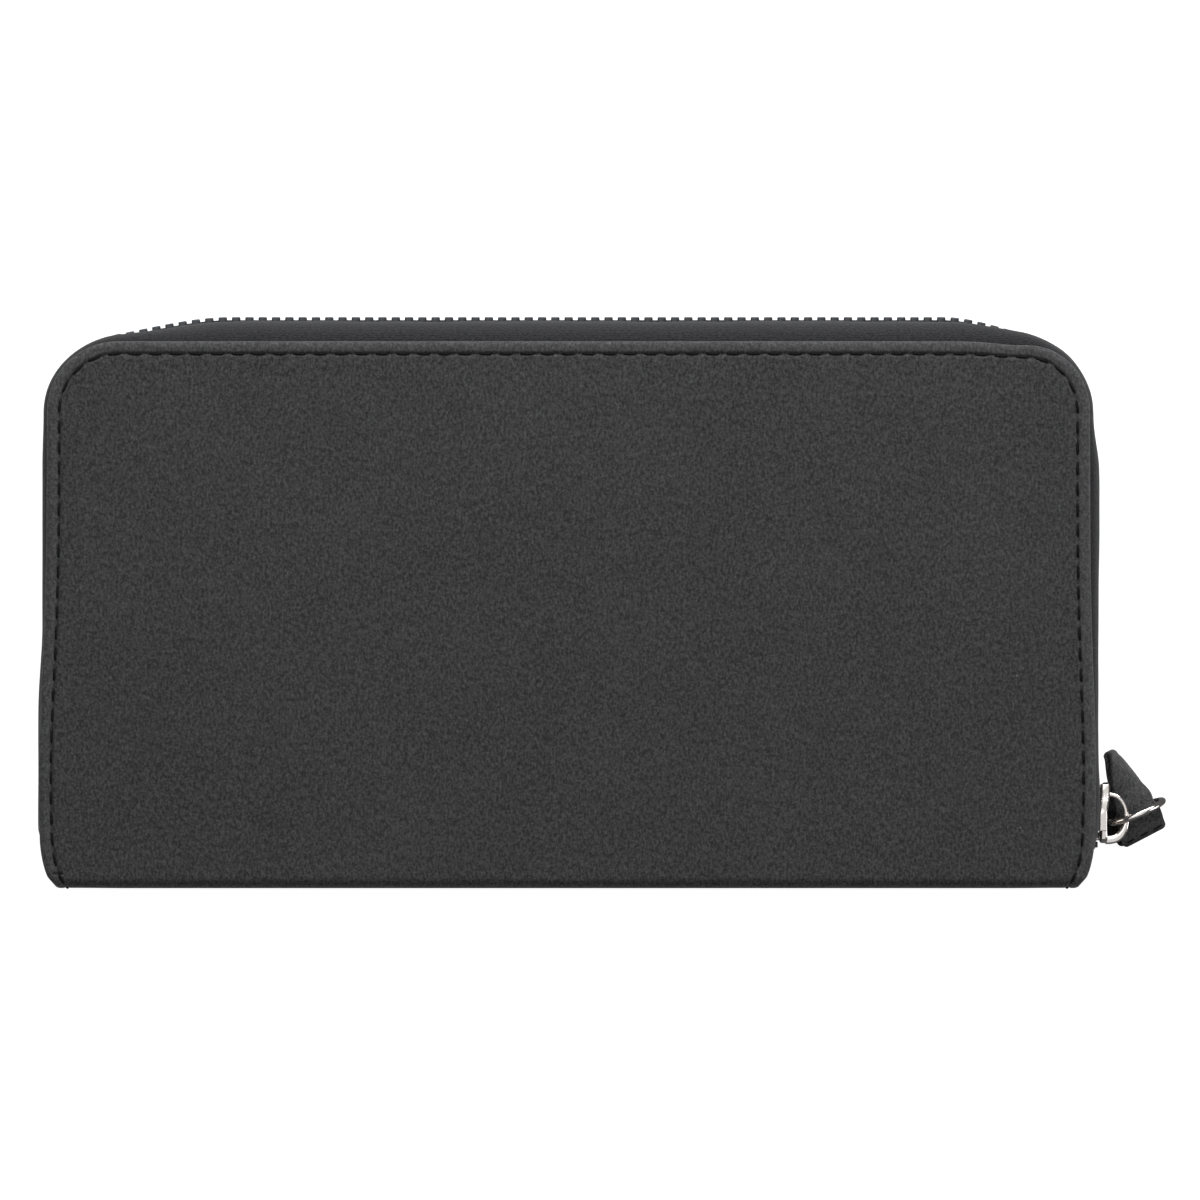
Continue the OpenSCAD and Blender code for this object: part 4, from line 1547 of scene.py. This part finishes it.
@dataclass
class Studio:
    """A pale sweep, soft lights and a long lens straight above."""

    view_w: float = 0.2201
    distance: float = 5.0
    height: float = 0.024
    look_x: float = 0.0059
    look_y: float = 0.0027
    sensor: float = 36.0
    ambient: float = 0.122

    @staticmethod
    def panel(name: str, corners: Sequence[tuple[float, float, float]], unseen_by: Sequence[str],
              settings: dict[str, object]) -> None:
        """A glowing panel that belongs to the studio.

        Args:
            name: Its name.
            corners: Its four corners, in metres.
            unseen_by: The kinds of ray that pass it by.
            settings: Its shader's values.
        """
        mesh = bpy.data.meshes.new(name)
        mesh.from_pydata(corners, [], [(0, 1, 2, 3)])
        panel = in_scene(name, mesh)
        material = bpy.data.materials.new(f"white {name}")
        material.use_nodes = True
        shader = material.node_tree.nodes["Principled BSDF"]
        for socket, value in {**settings, "Emission Color": (1, 1, 1, 1)}.items():
            shader.inputs[socket].default_value = value
        mesh.materials.append(material)
        for ray in unseen_by:
            setattr(panel, f"visible_{ray}", False)

    @staticmethod
    def light(name: str, place: tuple[float, float, float], size: tuple[float, float], power: float) -> None:
        """A soft box aimed at the wallet."""
        data = bpy.data.lights.new(name, "AREA")
        data.shape, data.size, data.size_y, data.energy = "RECTANGLE", *size, power
        lamp = in_scene(name, data)
        lamp.location = place
        lamp.rotation_euler = (-Vector(place)).to_track_quat("-Z", "Y").to_euler()

    def build(self) -> None:
        """Set the floor, the lights, the surroundings and the camera."""
        table, card = 4.0, 1.7
        self.panel("table", [(-table, -table, 0), (table, -table, 0), (table, table, 0), (-table, table, 0)],
                   ("glossy",),
                   {"Base Color": (0.3, 0.3, 0.3, 1), "Roughness": 0.9, "Emission Strength": 0.94})
        self.panel("reflector", [(-card, -2.2, 2.2), (-card, 3.6, 2.2), (card, 3.6, 2.2), (card, -2.2, 2.2)],
                   ("camera", "diffuse", "shadow"),
                   {"Base Color": (0, 0, 0, 1), "Specular IOR Level": 0.0, "Emission Strength": 0.95})
        self.light("long box above the zip", place=(0.05, 0.62, 0.36), size=(1.1, 0.28), power=9.2)
        self.light("overhead box", place=(-0.3, 0.3, 1.5), size=(1.1, 0.8), power=3.2)
        self.light("side box", place=(1.3, -0.15, 0.32), size=(0.5, 0.9), power=6)
        world = bpy.data.worlds.new("studio")
        world.use_nodes = True
        sky = world.node_tree.nodes["Background"]
        sky.inputs[0].default_value = (1, 1, 1, 1)
        sky.inputs[1].default_value = self.ambient
        scene = bpy.context.scene
        scene.world = world
        scene.view_settings.view_transform = "Standard"
        lens = bpy.data.cameras.new("camera")
        lens.sensor_width = self.sensor
        lens.lens = self.sensor * (self.distance - self.height) / self.view_w
        lens.clip_start, lens.clip_end = 0.05, 20
        camera = in_scene("camera", lens)
        camera.location = (self.look_x, self.look_y, self.distance)
        scene.camera = camera


# ---- the wallet ---------------------------------------------------------------------


@dataclass
class Wallet:
    """The whole wallet, built in order from its covers to its pull."""

    frame: dict
    body: Body = field(default_factory=Body.from_frame)
    run: RunTree = field(default_factory=RunTree)

    def __post_init__(self) -> None:
        """Make the shapes that the runs repeat."""
        self.tooth = tooth_shape(width=1.56, across=2.1, reach=1.9, head=0.75)
        stitch = stitch_shape(length=2.95, width=0.5, height=0.42)
        fine = stitch_shape(length=2.4, width=0.34, height=0.3)
        self.sewing = Stitching(self.run, stitch, fine)
        self.spares = [self.tooth, stitch, fine]

    def place(self, piece: bpy.types.Object, body: str, *nodes: str) -> bpy.types.Object:
        """Let a piece ride on a body and stand for CAD nodes."""
        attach(piece, body)
        if nodes:
            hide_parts(*nodes)
        LOG.info("%s rides on %s, %d faces", piece.name, body, len(piece.data.polygons))
        return piece

    def covers(self) -> None:
        """Both covers' skins and thread."""
        for side in Side:
            name = side.value
            skin = CoverSkin(self.body, side)
            start, end = skin.fold_line()
            piece, thread = skin.build(), self.sewing.cover(skin)
            for part, node in ((piece, f"{name}_skin"), (thread, f"{name}_stitching")):
                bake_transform(part)
                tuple(start)
                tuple(end)
                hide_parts(node)
                LOG.info("%s bends with the %s cover, %d faces", part.name, name, len(part.data.polygons))
            if side is Side.FRONT:
                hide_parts("spine_skin")

    def zip(self) -> None:
        """Both halves of the main zip."""
        edge = box_mm("back_zip_tape")[1][0] - 0.2 - self.body.half_w
        path = ZipPath(self.body, edge)
        for side in Side:
            name = side.value
            half = MainZip(path, side)
            self.place(half.build_tape(), name, f"{name}_zip_tape")
            self.place(half.build_teeth(self.run, self.tooth), name, f"{name}_zip_teeth")
        for node in ("back_zip_stop", "front_zip_stop", "zip_end_stop"):
            low, high = box_mm(node)
            tucked = (0.9 if node == "zip_end_stop" else 0.0, 0, 0)
            clamp = block(f"{node}_clamp", low + tucked, high, SHADED_TOOTH_NICKEL, 0.18)
            self.place(clamp, "front" if node.startswith("front") else "back", node)

    def pull(self) -> None:
        """The main slider, its bridge, the ring and the strap."""
        x, y, z = sum(box_mm("main_slider")) / 2

        def place(p: Array) -> Array:
            """Length towards the throat at +Y, plates across X."""
            return np.column_stack([x + p[:, 2], y + p[:, 0], z + p[:, 1]])

        slider = Slider(length=11.2, width=9.4, gap=2.6, plate=1.4, slot=1.0, place=place, flare=0.5)
        self.place(slider.build("zip_slider_body"), "zip_slider", "main_slider")
        low, high = box_mm("slider_bridge")
        out, long, wide = high - low
        bridge = slider.bridge("slider_d_bridge", (low[1] + high[1]) / 2 - y, long, out, 1.25, wide)
        self.place(bridge, "zip_slider", "slider_bridge")
        pull = RingPull(sum(box_mm("pull_ring")) / 2)
        self.place(pull.build_ring(), "ring", "pull_ring")
        self.place(pull.build_strap(), "strap", "pull_strap")
        line, out = pull.stitch_line()
        self.place(self.sewing.line("strap_thread", line, out, 2.2), "strap", "strap_stitching")

    def gussets(self) -> None:
        """The four half gussets, each between the spine and one cover."""
        for side in Side:
            for right in (False, True):
                gusset = Gusset(self.body, side, right)
                piece = gusset.build()
                depth = box_mm("left_gusset")[0][2] + 0.2
                outer = (0, 0, self.body.height(depth, side) * MM)
                inner = (0, 0, self.body.height(gusset.divider_depth - 0.3, side) * MM)
                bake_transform(piece)
                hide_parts("right_gusset" if right else "left_gusset")
                LOG.info("%s folds between spine and cover", piece.name)

    def inside(self) -> None:
        """Pocket stitching, the coin zip, and finishes for what stays as it was packed."""
        for side in Side:
            self.place(Pockets(self.body, side, self.sewing).build(), side.value)
        coin = CoinZip(self.run)
        coin.build_teeth()
        self.place(coin.build_slider(), "coin_slider", "coin_slider")
        self.place(coin.build_pull(), "coin_pull", "coin_pull")
        finishes = {f.slot: f for f in (MICROFIBRE, LINING, POCKET, THREAD, NICKEL, BOARD, FOAM)}
        finishes["zip_tape"] = COIN_TAPE
        for part in self.frame["record"]["subparts"]:
            node = self.frame["nodes"][part["node"]]
            if node.hide_render:
                continue
            node.data.materials.clear()
            node.data.materials.append(finishes[part["material_slot"]].material())

    def build(self) -> None:
        """Build everything, then take the spare shapes away."""
        self.covers()
        self.zip()
        self.pull()
        self.gussets()
        self.inside()
        for spare in self.spares:
            bpy.data.objects.remove(spare)


def main() -> None:
    """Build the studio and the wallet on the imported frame."""
    logging.basicConfig(level=logging.INFO, format="%(name)s: %(message)s")
    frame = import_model()
    Studio().build()
    Wallet(frame).build()


if __name__ == "__main__":
    main()
